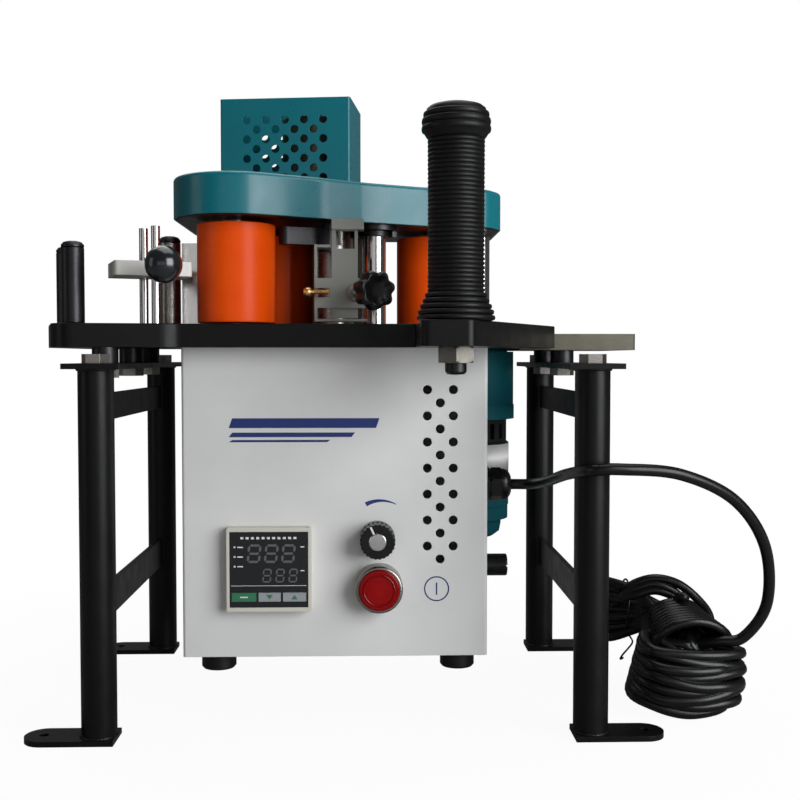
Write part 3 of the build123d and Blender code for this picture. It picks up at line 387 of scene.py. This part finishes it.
def smooth_path(points, steps=10):
    """Catmull-Rom curve through the points."""
    points = [Vector(p) for p in points]
    last = len(points) - 1
    result = []
    for i in range(last):
        a, b, c, d = (points[min(max(i + k, 0), last)] for k in (-1, 0, 1, 2))
        for step in range(steps):
            t = step / steps
            result.append(
                0.5 * (2 * b + (c - a) * t + (2 * a - 5 * b + 4 * c - d) * t ** 2
                       + (3 * b - a - 3 * c + d) * t ** 3)
            )
    result.append(points[-1])
    return result


def prism(name, outline, front, back):
    """Flat piece whose outline lies in X and Z, from Y front to Y back."""
    count = len(outline)
    points = [(x, front, z) for x, z in outline] + [(x, back, z) for x, z in outline]
    faces = [tuple(range(count)), tuple(reversed(range(count, 2 * count)))]
    faces += [(i, count + i, count + (i + 1) % count, (i + 1) % count) for i in range(count)]
    return mesh_object(name, points, faces, smooth=False)


def join(name, parts):
    """One object from several, their meshes kept as they are."""
    tidy = bmesh.new()
    for part in parts:
        tidy.from_mesh(part.data)
    mesh = bpy.data.meshes.new(name)
    tidy.to_mesh(mesh)
    tidy.free()
    for part in parts:
        bpy.data.objects.remove(part)
    obj = bpy.data.objects.new(name, mesh)
    bpy.context.scene.collection.objects.link(obj)
    return obj


def move(obj, place=(0, 0, 0), axis=None, spin=0.0):
    """Turns a piece built about Z so that Z lies along axis, then puts it at a place."""
    turn = Matrix.Identity(4)
    if axis is not None:
        turn = Vector(axis).to_track_quat("Z", "Y").to_matrix().to_4x4()
    obj.data.transform(Matrix.Translation(place) @ turn @ Matrix.Rotation(spin, 4, "Z"))
    return obj


def dress(obj, material, body, replaces=()):
    obj.data.materials.clear()
    obj.data.materials.append(material)
    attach(obj, body)
    if replaces:
        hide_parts(*replaces)
    return obj


def middle(node):
    low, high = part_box(node)
    return (low + high) / 2


# ---------------------------------------------------------------- handle
def ring(radius, level, height, depth):
    """Profile of one moulded ring: a rounded bead with a groove above and below it."""
    inner = radius - depth
    return [
        (inner, level), (radius - 0.25 * depth, level + 0.12 * height), (radius, level + 0.35 * height),
        (radius, level + 0.6 * height), (radius - 0.25 * depth, level + 0.83 * height),
        (inner, level + 0.95 * height),
    ]


def grip_profile(height):
    """Ringed rubber grip in millimetres: flared foot, fine rings, neck, three thick rings, low dome."""
    points = [(18.6, 0)]
    level = 0.2
    for radius in (20.3, 19.7, 18.6, 17.3, 16.1):
        points += ring(radius, level, 2.9, 1.3)
        level += 2.9
    head = height - 18.8
    while level < head:
        points += ring(14.9 - 0.25 * math.sin(level / height * math.pi), level, 2.3, 0.7)
        level += 2.3
    points += [(14.6, level), (15.6, level + 1.4), (16.6, level + 3.0)]
    level += 3.4
    for radius, step in ((17.9, 3.7), (17.8, 3.7), (17.0, 3.2)):
        points += ring(radius, level, step, 0.9)
        level += step
    rise = height - level
    dome = ((15.6, 0), (15.2, 0.35), (13.4, 0.68), (10.0, 0.90), (5.5, 0.98), (0.1, 1))
    points += [(radius, level + share * rise) for radius, share in dome]
    return points


def build_handle():
    low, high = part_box("handle_grip")
    centre = middle("handle_grip")
    profile = [(r * MM, low.z + z * MM) for r, z in grip_profile((high.z - low.z) / MM)]
    grip = lathe("handle_grip_ringed", profile, 72, 50)
    move(grip, (centre.x, centre.y, 0))
    dress(grip, MATERIALS["rubber"], "frame", ["handle_grip"])


# ---------------------------------------------------------------- knobs and controls
def build_speed_knob():
    centre = middle("speed_knob")
    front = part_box("speed_knob")[0].y
    inlay_r = 4.9
    inlay = lathe("knob_inlay", in_mm([(inlay_r, 0), (inlay_r, 0.9), (4.5, 1.2), (0.4, 1.3)]), 48)
    move(inlay, (centre.x, front + 0.6 * MM, centre.z), (0, -1, 0))
    dress(inlay, SILVER, "speed_knob")
    angle = math.radians(90 + 25)
    along = Vector((math.cos(angle), 0, math.sin(angle)))
    across = Vector((-along.z, 0, along.x))
    hub = Vector((centre.x, 0, centre.z))
    outline = [hub + along * a * MM + across * b * MM for a, b in bar(inlay_r, 9.4, -0.55, 0.55)]
    pointer = prism("knob_pointer", [(p.x, p.z) for p in outline], front - 0.15 * MM, front + 0.3 * MM)
    dress(pointer, INK_WHITE, "speed_knob")


def build_button():
    centre = middle("start_button")
    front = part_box("start_button")[0].y
    profile = in_mm([(9.2, 0), (9.2, 0.25), (8.7, 0.5), (8.2, 0.25), (8.2, 0)])
    rim = lathe("button_cap_ring", profile, 64)
    move(rim, (centre.x, front + 0.02 * MM, centre.z), (0, -1, 0))
    dress(rim, MATERIALS["red_plastic"], "start_button")


def lobed_knob(name, lobes, radius, dip, height, segments=140):
    """Star knob about Z: rounded lobes with soft rims, and a shallow dish on top."""
    rings = [
        (0.80, -0.5), (0.93, -0.49), (0.985, -0.42), (1.0, -0.25), (1.0, 0.2), (0.97, 0.40),
        (0.88, 0.49), (0.74, 0.5), (0.62, 0.44), (0.30, 0.40), (0.05, 0.40),
    ]
    points = []
    faces = []
    for share, level in rings:
        for i in range(segments):
            angle = TAU * i / segments
            lobe = dip * (0.5 - 0.5 * math.cos(lobes * angle)) ** 1.4
            r = radius * share * (1 - lobe * min(1.0, share * 1.1) ** 3)
            points.append((r * math.cos(angle), r * math.sin(angle), level * height))
    for row in range(len(rings) - 1):
        for i in range(segments):
            j = (i + 1) % segments
            a, b = row * segments, (row + 1) * segments
            faces.append((a + i, a + j, b + j, b + i))
    faces.append(tuple(reversed(range(segments))))
    faces.append(tuple(range((len(rings) - 1) * segments, len(rings) * segments)))
    return mesh_object(name, points, faces)


def thread_profile(radius, low, high, pitch):
    """Turned rings that read as a screw thread."""
    root = radius - 0.35 * MM
    points = [(root, low)]
    level = low
    while level + pitch < high:
        points += [(radius, level + pitch * 0.5), (root, level + pitch)]
        level += pitch
    points.append((root, high))
    return points


def joint_of(name):
    return next(j for j in frame["joints"] if j["name"] == name)


def build_star_knob():
    joint = joint_of("star_knob_turn")
    base = Vector(joint["pos_m"])
    axis = Vector(joint["axis"])
    knob = lobed_knob("star_lobes", 7, 11 * MM, 0.17, 11.5 * MM)
    move(knob, base + axis * 28 * MM, axis, 0.2)
    hub = lathe("star_hub", in_mm([(5.2, 17), (6.4, 18), (6.4, 23), (6.0, 24)]), 40)
    move(hub, base, axis)
    body = join("star_knob_moulded", [knob, hub])
    dress(body, MATERIALS["black_plastic"], "star_knob", ["star_knob"])
    stud = lathe("star_stud", thread_profile(3 * MM, 0.4 * MM, 18 * MM, 1 * MM), 32)
    dress(move(stud, base, axis), MATERIALS["steel"], "star_knob")


def build_ball_knob():
    joint = joint_of("ball_knob_turn")
    start = Vector(joint["pos_m"])
    axis = Vector(joint["axis"])
    reach = 38 * MM
    size = 10 * MM
    profile = [(2.9 * MM, -size - 1.6 * MM), (3.6 * MM, -size - 1.3 * MM), (3.8 * MM, -size * 0.90)]
    for k in range(1, 24):
        angle = -math.pi / 2 + math.radians(24) + k / 24 * math.radians(156)
        profile.append((size * math.cos(angle), size * math.sin(angle)))
    profile.append((0.02 * MM, size))
    ball = lathe("ball_knob_turned", profile, 64)
    move(ball, start + axis * reach, axis)
    dress(ball, GLOSS_BLACK, "ball_knob", ["ball_knob"])
    screw = lathe("ball_screw", thread_profile(2.5 * MM, 2.7 * MM, reach - size, 0.8 * MM), 28)
    dress(move(screw, start, axis), MATERIALS["steel"], "ball_knob")


# ---------------------------------------------------------------- controller face
def bar(x0, x1, z0, z1):
    return [(x0, z0), (x1, z0), (x1, z1), (x0, z1)]


def digit_segments(x, z, width, height):
    """Outlines of the seven segments of a digit whose lower left corner is (x, z)."""
    t = width * 0.17
    gap = t * 0.22
    half = height / 2
    lean = 0.10
    segments = []
    for level in (0, half - t / 2, height - t):
        y0, y1 = level, level + t
        segments.append([
            (gap + t * 0.5, (y0 + y1) / 2), (gap + t, y0), (width - gap - t, y0),
            (width - gap - t * 0.5, (y0 + y1) / 2), (width - gap - t, y1), (gap + t, y1),
        ])
    for left in (0, width - t):
        for low in (0, half):
            y0, y1 = low + gap + t * 0.5, low + half - gap - t * 0.5
            segments.append([
                (left + t / 2, y0), (left + t, y0 + t / 2), (left + t, y1 - t / 2),
                (left + t / 2, y1), (left, y1 - t / 2), (left, y0 + t / 2),
            ])
    return [[(x + px + lean * py, z + py) for px, py in outline] for outline in segments]


def window_mark(outline):
    """Mark on the controller's window, its outline in millimetres from the window's lower left corner."""
    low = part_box("controller_window")[0]
    proud = 0.12 * MM
    corners = [(low.x + x * MM, low.z + z * MM) for x, z in outline]
    return prism("mark", corners, low.y - proud, low.y + proud)


def build_controller():
    parts = []
    for left, bottom, pitch, width, height in ((9.6, 25.4, 9.7, 7.6, 10.6), (18.3, 14.2, 7.4, 5.0, 7.9)):
        for i in range(3):
            for outline in digit_segments(left + pitch * i, bottom, width, height):
                parts.append(window_mark(outline))
    dress(join("display_digits", parts), INK_GREY, "frame")

    bars = []
    for level in (34.0, 28.5, 23.0):
        bars.append(bar(4.4, 7.6, level, level + 0.7))
        bars.append(bar(2.4, 3.4, level - 0.1, level + 0.9))
    bars.append(bar(40.2, 42.4, 34.2, 34.8))
    bars.append(bar(40.2, 42.4, 20.6, 21.2))
    bars.append(bar(1.0, 43.5, 12.2, 12.5))
    for k in range(11):
        bars.append(bar(6.2 + 3.0 * k, 7.9 + 3.0 * k, 38.9, 40.2))
    legend = join("display_legend", [window_mark(outline) for outline in bars])
    dress(legend, INK_WHITE, "frame")


def build_key_marks():
    for name, shape in (("key_set", "dash"), ("key_down", "down"), ("key_up", "up")):
        low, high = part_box(name)
        x, z = (low.x + high.x) / 2, (low.z + high.z) / 2
        if shape == "dash":
            outline = bar(x - 2.2 * MM, x + 2.2 * MM, z - 0.35 * MM, z + 0.35 * MM)
        else:
            tip = 1.3 * MM if shape == "up" else -1.3 * MM
            outline = [(x - 1.8 * MM, z - tip), (x + 1.8 * MM, z - tip), (x, z + tip)]
        mark = prism(name + "_mark", outline, low.y - 0.05 * MM, low.y + 0.2 * MM)
        dress(mark, INK_WHITE if shape == "dash" else MATERIALS["green_key"], name)


# ---------------------------------------------------------------- printed marks on the box
def arc_band(centre, radius, start, end, widths, steps=28):
    """Outline of a curved band about a centre, its width running from widths[0] to widths[1]."""
    outer = []
    inner = []
    for k in range(steps + 1):
        share = k / steps
        angle = math.radians(start + (end - start) * share)
        half = (widths[0] + (widths[1] - widths[0]) * share) / 2
        for points, r in ((outer, radius + half), (inner, radius - half)):
            points.append((centre[0] + r * math.cos(angle), centre[1] + r * math.sin(angle)))
    return outer + inner[::-1]


def build_printed_marks():
    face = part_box("control_box_shell")[0].y
    depth = 0.06 * MM
    knob = middle("speed_knob")
    arc = arc_band((knob.x + 2 * MM, knob.z + 3 * MM), 18.5 * MM, 118, 62, (2.6 * MM, 0.4 * MM))
    power = (51.2 * MM, 73.0 * MM)
    line = 0.75 * MM
    outlines = [arc]
    outlines += [arc_band(power, 6.9 * MM, start, start + 180, (line, line)) for start in (0, 180)]
    outlines.append(bar(power[0] - 0.4 * MM, power[0] + 0.4 * MM, power[1] - 3.6 * MM, power[1] + 3.6 * MM))
    parts = [prism("mark", outline, face - depth, face + depth) for outline in outlines]
    dress(join("printed_scale_marks", parts), INK_BLUE, "frame")
    parts = []
    left, top, slant = -67.6 * MM, 171.5 * MM, 2.0 * MM
    for drop, length, thick in ((0, 84, 5.6), (8.2, 70, 2.6), (12.4, 56, 1.3)):
        level = top - drop * MM
        bottom = level - thick * MM
        right = left + length * MM
        outline = [(left, bottom), (right, bottom), (right + slant, level), (left + slant, level)]
        parts.append(prism("mark", outline, face - depth, face + depth))
    dress(join("printed_stripes", parts), INK_BLUE, "frame")


# ---------------------------------------------------------------- power cable
CORD_R = 3.2 * MM
CUFF_CORD_R = 2.9 * MM
TOP_CORD_R = 2.7 * MM
NECK_R = 7 * MM
PLUG_START = Vector((0.1930, -0.008, 0.0105))
PLUG_AXIS = Vector((0.55, 0.83, 0.0)).normalized()
CUFF_BACK = Vector((0.1965, -0.024, 0.045))
CUFF_FRONT = Vector((0.2000, -0.052, 0.034))


def mixed(first, second, share):
    return first + (second - first) * share


def hank_path(turns=9):
    """Figure-of-eight turns: front lobe, back through the cuff, rear lobe, forward through it."""
    points = []
    for i in range(turns):
        share = i / (turns - 1)
        angle = 2.4 * i
        inner = Vector((math.cos(angle), 0, math.sin(angle))) * NECK_R
        fan = math.sin(2.1 * i + 0.6)
        bulge = 0.0070 * math.sin(math.pi * (0.12 + 0.80 * share)) + 0.0010 * math.cos(3 * i)
        slope = 0.0028 * math.sin(4.3 * i + 0.5)
        edge = 0.2245 + 0.0050 * fan - 0.0050 * max(0.0, share - 0.55)
        points += [
            CUFF_FRONT + inner,
            Vector((0.2130, -0.0500, mixed(0.0375, 0.0170, share))),
            Vector((edge, -0.0560 - 0.3 * bulge, mixed(0.0345, 0.0085, share) + slope)),
            Vector((0.2130 + 0.002 * fan, -0.0625 - 0.8 * bulge, mixed(0.0356, 0.0055, share) + 0.5 * slope)),
            Vector((0.1950 + 0.002 * fan, -0.0645 - bulge, mixed(0.0372, 0.0034, share))),
            Vector((0.1755, -0.0620 - 0.8 * bulge, mixed(0.0400, 0.0066, share) - 0.8 * slope)),
            Vector((mixed(0.1715, 0.1635, share), -0.0545, mixed(0.0425, 0.0140, share))),
            Vector((0.1765, -0.0460, mixed(0.0440, 0.0280, share))),
            CUFF_FRONT - inner * 0.8,
            CUFF_BACK - inner * 0.8,
        ]
        height = mixed(0.0655, 0.0325, share)
        points += [
            Vector((0.1800, -0.0130, mixed(0.0600, 0.0400, share))),
            Vector((0.1620, -0.0020 + 0.004 * fan, height)),
            Vector((0.1535 + 0.001 * fan, 0.0120, height - 0.002)),
            Vector((0.1518 + 0.001 * fan, 0.0210, height - 0.004)),
            Vector((0.1570, 0.0270 + 0.002 * fan, height - 0.005)),
            Vector((0.1660, 0.0140, mixed(0.0600, 0.0380, share))),
            Vector((0.1840, -0.0060, mixed(0.0560, 0.0400, share))),
            CUFF_BACK + inner,
        ]
    return points


def keep_above_floor(path, level):
    return [Vector((p.x, p.y, max(p.z, level))) for p in path]


def cuff_path(turns=9, steps=30):
    """Turns wound tightly round the middle of the hank, widening towards the front."""
    axis = (CUFF_FRONT - CUFF_BACK).normalized()
    side = Vector((1, 0, 0))
    rise = side.cross(axis).normalized()
    if rise.z < 0:
        rise = -rise
    path = []
    for k in range(turns * steps + 1):
        share = k / (turns * steps)
        angle = TAU * k / steps
        size = (15.5 + 6.5 * share ** 1.3) * MM
        centre = CUFF_BACK + (CUFF_FRONT - CUFF_BACK) * (share * 1.05 - 0.02)
        path.append(centre + side * size * 1.12 * math.cos(angle) + rise * size * 0.98 * math.sin(angle))
    return keep_above_floor(path, CORD_R)


def build_cable():
    y, z = middle("cable_gland").y, middle("cable_gland").z
    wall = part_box("control_box_shell")[1].x
    lead = [
        (wall - 0.010, y, z), (wall + 0.019, y, z), (wall + 0.032, y - 0.008, z + 0.001),
        (0.1175, -0.036, 0.1330), (0.1210, -0.082, 0.1420), (0.1290, -0.1060, 0.1465),
        (0.1450, -0.1100, 0.1475), (0.178, -0.104, 0.1440), (0.211, -0.092, 0.1285),
        (0.2325, -0.079, 0.1010), (0.2380, -0.068, 0.0670), (0.2270, -0.062, 0.0460),
        (0.2140, -0.058, 0.0425), (0.200, -0.050, 0.0380),
    ]
    parts = [pipe("cord", smooth_path(lead, 12), CORD_R, 18)]
    parts.append(pipe("cord", keep_above_floor(smooth_path(hank_path(), 7), CORD_R), CORD_R, 12))
    parts.append(pipe("cord", cuff_path(), CUFF_CORD_R, 12))
    for drop, inward in ((0.002, 0), (0.0095, 0.0085), (0.0055, 0.0160)):
        arch = [
            (0.164, -0.004, 0.052), (0.1695, -0.011, 0.0625 - drop * 0.5),
            (0.1765, -0.015, 0.0700 - drop), (0.1880, -0.018, 0.0732 - drop),
            (0.2010, -0.0205, 0.0700 - drop - inward * 0.2),
            (0.2120 - inward * 0.8, -0.024, 0.0610 - drop), (0.2172 - inward, -0.030, 0.0500),
            (0.214, -0.038, 0.0400), (0.205, -0.044, 0.034),
        ]
        parts.append(pipe("cord", smooth_path(arch, 10), TOP_CORD_R, 14))
    stub = [
        (0.1955, -0.030, 0.050), (0.1970, -0.0315, 0.0585), (0.1985, -0.0345, 0.0635),
        (0.2005, -0.0385, 0.0630),
    ]
    parts.append(pipe("cord", smooth_path(stub, 6), lambda t: (2.6 + 0.4 * math.sin(t * math.pi)) * MM, 14))
    tail = [
        (0.1930, -0.030, 0.0400), (0.1840, -0.026, 0.0280), (0.1780, -0.021, 0.0150),
        (0.1820, -0.0165, 0.0108), PLUG_START, PLUG_START + PLUG_AXIS * 4 * MM,
    ]
    parts.append(pipe("cord", smooth_path(tail, 8), CORD_R, 12))
    cable = join("power_cable_coiled", parts)
    for face in cable.data.polygons:
        face.use_smooth = True
    dress(cable, CORD, "frame", ["power_cable"])
    build_tie()
    build_plug()


def build_tie():
    """Thin wire tie round the rear lobe, its twisted ends sticking out below."""
    steps = 36
    centre = Vector((0.1715, -0.001, 0.0495))
    across = Vector((0, 0.0137, 0))
    rise = Vector((0.002, 0, 0.0177))
    around = []
    for k in range(steps + 1):
        angle = TAU * k / steps
        around.append(centre + across * math.cos(angle) + rise * math.sin(angle))
    ends = [
        (0.1715, -0.0190, 0.0360), (0.1722, -0.0235, 0.0335), (0.1690, -0.0255, 0.0300),
        (0.1655, -0.0265, 0.0265), (0.1640, -0.0270, 0.0240), (0.1660, -0.0270, 0.0250),
    ]
    tie = join("cable_tie_wire", [
        pipe("wire", around, 0.6 * MM, 8), pipe("wire", smooth_path(ends, 6), 0.55 * MM, 8),
    ])
    dress(tie, MATERIALS["black_plastic"], "frame")


def build_plug():
    """Moulded mains plug with two round pins, tucked behind the coil."""
    body = lathe("plug", in_mm([
        (3.4, 0), (4.4, 1), (5.2, 9), (8.5, 13), (9.2, 16), (9.2, 30), (8.6, 32), (8.0, 32.2),
    ]), 40)
    pins = []
    for side in (-4.5, 4.5):
        pin = lathe("pin", in_mm([(2, 30), (2, 44), (1.2, 46), (0.2, 46.3)]), 20)
        pin.data.transform(Matrix.Translation((side * MM, 0, 0)))
        pins.append(pin)
    dress(move(body, PLUG_START, PLUG_AXIS), MATERIALS["black_plastic"], "frame")
    dress(move(join("plug_pins", pins), PLUG_START, PLUG_AXIS), MATERIALS["steel"], "frame")


# ---------------------------------------------------------------- fasteners and small metalwork
def hex_profile(flats, low, high):
    """Hex solid about Z with chamfered corners, as a stack of outlines."""
    corner = flats / 2 / math.cos(math.pi / 6)
    chamfer = 0.9 * MM
    points = []
    faces = []
    steps = 48
    levels = [(low, 0.90), (low + chamfer, 1.0), (high - chamfer, 1.0), (high, 0.90)]
    for level, share in levels:
        for i in range(steps):
            angle = TAU * i / steps
            sector = (angle + math.pi / 6) % (math.pi / 3) - math.pi / 6
            r = min(flats / 2 / math.cos(sector), corner * share if share < 1 else corner)
            points.append((r * math.cos(angle), r * math.sin(angle), level))
    for row in range(len(levels) - 1):
        for i in range(steps):
            j = (i + 1) % steps
            faces.append((row * steps + i, row * steps + j, (row + 1) * steps + j, (row + 1) * steps + i))
    faces.append(tuple(reversed(range(steps))))
    faces.append(tuple(range((len(levels) - 1) * steps, len(levels) * steps)))
    obj = mesh_object("hex", points, faces)
    split_edges(obj, 20)
    return obj


def build_handle_nut():
    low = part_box("handle_fasteners")[0]
    axis = middle("handle_fasteners")
    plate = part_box("base_plate")[0].z
    under = plate - 8.5 * MM
    nut = hex_profile(18 * MM, under, plate)
    dress(move(nut, (axis.x, axis.y, 0), None, -0.05), ZINC, "frame", ["handle_fasteners"])
    # The stud end's dark black oxide is partly its own finish and partly painted shadow, standing in for the nut's
    # shadow on the box face.
    end = lathe("handle_stud_end", [
        (0.2 * MM, low.z), (4.6 * MM, low.z + 0.5 * MM), (5.6 * MM, low.z + 1.8 * MM), (5.7 * MM, under),
    ], 40)
    dress(move(end, (axis.x, axis.y, 0)), MATERIALS["black_oxide"], "frame")


def build_gland():
    """Cable gland: hex flange, hex cap nut and a rounded nose round the cord."""
    centre = middle("cable_gland")
    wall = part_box("control_box_shell")[1].x
    flange = hex_profile(20 * MM, 0, 6 * MM)
    nut = hex_profile(18.5 * MM, 6.6 * MM, 13.8 * MM)
    nose = lathe("nose", in_mm([
        (8.2, 5.5), (8.2, 13.4), (9.8, 13.6), (9.7, 15.2), (8.9, 17.1), (7.4, 18.6), (5.6, 19.4),
        (3.3, 19.6),
    ]), 48)
    thread = lathe("thread", in_mm([(7.9, -9), (7.9, 1)]), 40)
    gland = join("cable_gland_turned", [flange, nut, nose, thread])
    move(gland, (wall, centre.y, centre.z), (1, 0, 0), 0.1)
    dress(gland, MATERIALS["black_plastic"], "frame", ["cable_gland"])


def bead(name, centre, radius, level, thickness=0.8):
    """Rippled weld bead round a tube."""
    path = []
    steps = 90
    for k in range(steps + 1):
        angle = TAU * k / steps
        path.append((centre[0] + radius * math.cos(angle), centre[1] + radius * math.sin(angle), level))
    return pipe(name, path, lambda t: (thickness + 0.12 * math.sin(t * TAU * 34)) * MM, 8)


def build_welds():
    """Weld beads where the stands' tubes meet the foot bars and the top flange."""
    for side, node in ((-1, "left_stand"), (1, "right_stand")):
        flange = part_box(node)[1].z - FLANGE_THICKNESS
        parts = []
        for y in (-LEG_Y, LEG_Y):
            parts.append(bead("weld", (side * LEG_X, y), LEG_R, FOOT_THICKNESS + 0.2 * MM))
            parts.append(bead("weld", (side * LEG_X, y), LEG_R, flange - 0.2 * MM, 0.9))
        dress(join(node + "_welds", parts), WELD, "frame")


def build_press_details():
    post_low, post_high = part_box("press_post")
    bracket_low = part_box("press_bracket")[0]
    screw = lathe("adjuster", thread_profile(2.0 * MM, 0, 10.5 * MM, 0.7 * MM), 24)
    move(screw, (post_low.x + 5.0 * MM, (post_low.y + post_high.y) / 2 + 1 * MM, post_high.z - 14.6 * MM))
    dress(screw, MATERIALS["chrome"], "frame")
    slot_z = 243.1 * MM
    y = bracket_low.y + 0.9 * MM
    head = lathe("brass_head", in_mm([
        (1.2, 0), (2.6, 0.4), (3.1, 1.4), (3.1, 3.0), (2.3, 4.2), (0.4, 4.7),
    ]), 32)
    move(head, (bracket_low.x - 1.4 * MM, y, slot_z), (-1, 0, 0))
    shank = lathe("brass_shank", thread_profile(1.5 * MM, 0, 10 * MM, 0.6 * MM), 20)
    move(shank, (bracket_low.x - 1.6 * MM, y, slot_z), (1, 0, 0))
    dress(join("press_adjusting_screw", [head, shank]), BRASS, "tape_press")


def build_post_flange():
    """Black flange with two screws at the top of the front support post."""
    x, y = 15.4 * MM, -13.0 * MM
    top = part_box("gear_plate")[0].z
    profile = ((7.4, 6.5), (9.6, 6.2), (9.8, 3.2), (14.0, 3.0), (14.0, 0))
    collar = lathe("collar", [(radius * MM, top - drop * MM) for radius, drop in profile], 48)
    move(collar, (x, y, 0))
    dress(collar, MATERIALS["black_oxide"], "frame")
    heads = []
    for side in (-1, 1):
        head = hex_profile(5.5 * MM, top - 6.8 * MM, top - 3.0 * MM)
        heads.append(move(head, (x + side * 11.2 * MM, y - 2 * MM, 0)))
    dress(join("post_flange_screws", heads), MATERIALS["black_oxide"], "frame")


def build_motor_label():
    """Blank white rating label wrapped on the motor's outer side."""
    centre = middle("motor_rotor")
    low, high = 132 * MM, 149.5 * MM
    radius = 30.12 * MM
    start, sweep = -66, 58
    steps = 24
    points = []
    faces = []
    for k in range(steps + 1):
        angle = math.radians(start + sweep * k / steps)
        for r in (radius - 0.1 * MM, radius):
            for level in (low, high):
                points.append((centre.x + r * math.cos(angle), centre.y + r * math.sin(angle), level))
    for k in range(steps):
        a, b = 4 * k, 4 * (k + 1)
        for i, j in ((0, 1), (1, 3), (3, 2), (2, 0)):
            faces.append((a + i, a + j, b + j, b + i))
    faces += [(0, 1, 3, 2), (4 * steps, 4 * steps + 1, 4 * steps + 3, 4 * steps + 2)]
    label = mesh_object("motor_label", points, faces)
    dress(label, LABEL, "frame")


# ---------------------------------------------------------------- studio
def area_light(name, place, target, width, height, power, colour=(1, 1, 1)):
    data = bpy.data.lights.new(name, "AREA")
    data.shape = "RECTANGLE"
    data.size = width
    data.size_y = height
    data.energy = power
    data.color = colour
    lamp = bpy.data.objects.new(name, data)
    bpy.context.scene.collection.objects.link(lamp)
    lamp.location = place
    lamp.rotation_euler = (Vector(target) - Vector(place)).to_track_quat("-Z", "Y").to_euler()


def build_studio():
    corners = [(-4, -4, 0), (4, -4, 0), (4, 4, 0), (-4, 4, 0)]
    floor = mesh_object("floor", corners, [(0, 1, 2, 3)], smooth=False)
    floor.data.materials.append(studio_floor())
    floor.location.z = -0.0002
    aim = (0, 0, 0.19)
    area_light("key_softbox", (0.98, -0.96, 0.52), aim, 0.95, 1.0, 21, (0.97, 0.985, 1.0))
    area_light("front_fill", (-0.1, -1.7, 0.12), aim, 1.6, 1.0, 3.0)
    area_light("top_softbox", (0.1, 0.1, 1.35), aim, 1.0, 1.0, 6)
    area_light("left_fill", (-1.3, -0.5, 0.45), aim, 0.5, 0.9, 1.2)
    area_light("back_panel", (-0.4, 1.1, 1.5), aim, 1.2, 1.0, 6)
    world = bpy.data.worlds.new("studio")
    bpy.context.scene.world = world
    world.use_nodes = True
    tree = world.node_tree
    tree.nodes.clear()
    add = tree.nodes.new
    coordinates = add("ShaderNodeTexCoord")
    split = add("ShaderNodeSeparateXYZ")
    tree.links.new(coordinates.outputs["Generated"], split.inputs[0])
    ramp = add("ShaderNodeMapRange")
    for socket, value in zip(list(ramp.inputs)[1:5], (-0.9, 0.9, 0.035, 0.10)):
        socket.default_value = value
    tree.links.new(split.outputs["Y"], ramp.inputs[0])
    rays = add("ShaderNodeLightPath")
    strength = add("ShaderNodeMix")
    tree.links.new(rays.outputs["Is Camera Ray"], strength.inputs[0])
    tree.links.new(ramp.outputs[0], strength.inputs[2])
    strength.inputs[3].default_value = 1.0
    background = add("ShaderNodeBackground")
    background.inputs["Color"].default_value = (1, 1, 1, 1)
    tree.links.new(strength.outputs[0], background.inputs["Strength"])
    output = add("ShaderNodeOutputWorld")
    tree.links.new(background.outputs[0], output.inputs["Surface"])
    bpy.context.scene.view_settings.view_transform = "Standard"


def build_camera():
    data = bpy.data.cameras.new("camera")
    data.lens = 49.5
    data.sensor_width = 36.0
    camera = bpy.data.objects.new("camera", data)
    bpy.context.scene.collection.objects.link(camera)
    camera.location = (0.013, -0.6815, 0.206)
    camera.rotation_euler = (math.radians(90 - 2.2), 0, math.radians(-1.56))
    bpy.context.scene.camera = camera


dress_cad_nodes()
build_handle()
build_speed_knob()
build_button()
build_star_knob()
build_ball_knob()
build_controller()
build_key_marks()
build_printed_marks()
build_cable()
build_handle_nut()
build_gland()
build_welds()
build_press_details()
build_post_flange()
build_motor_label()
build_studio()
build_camera()
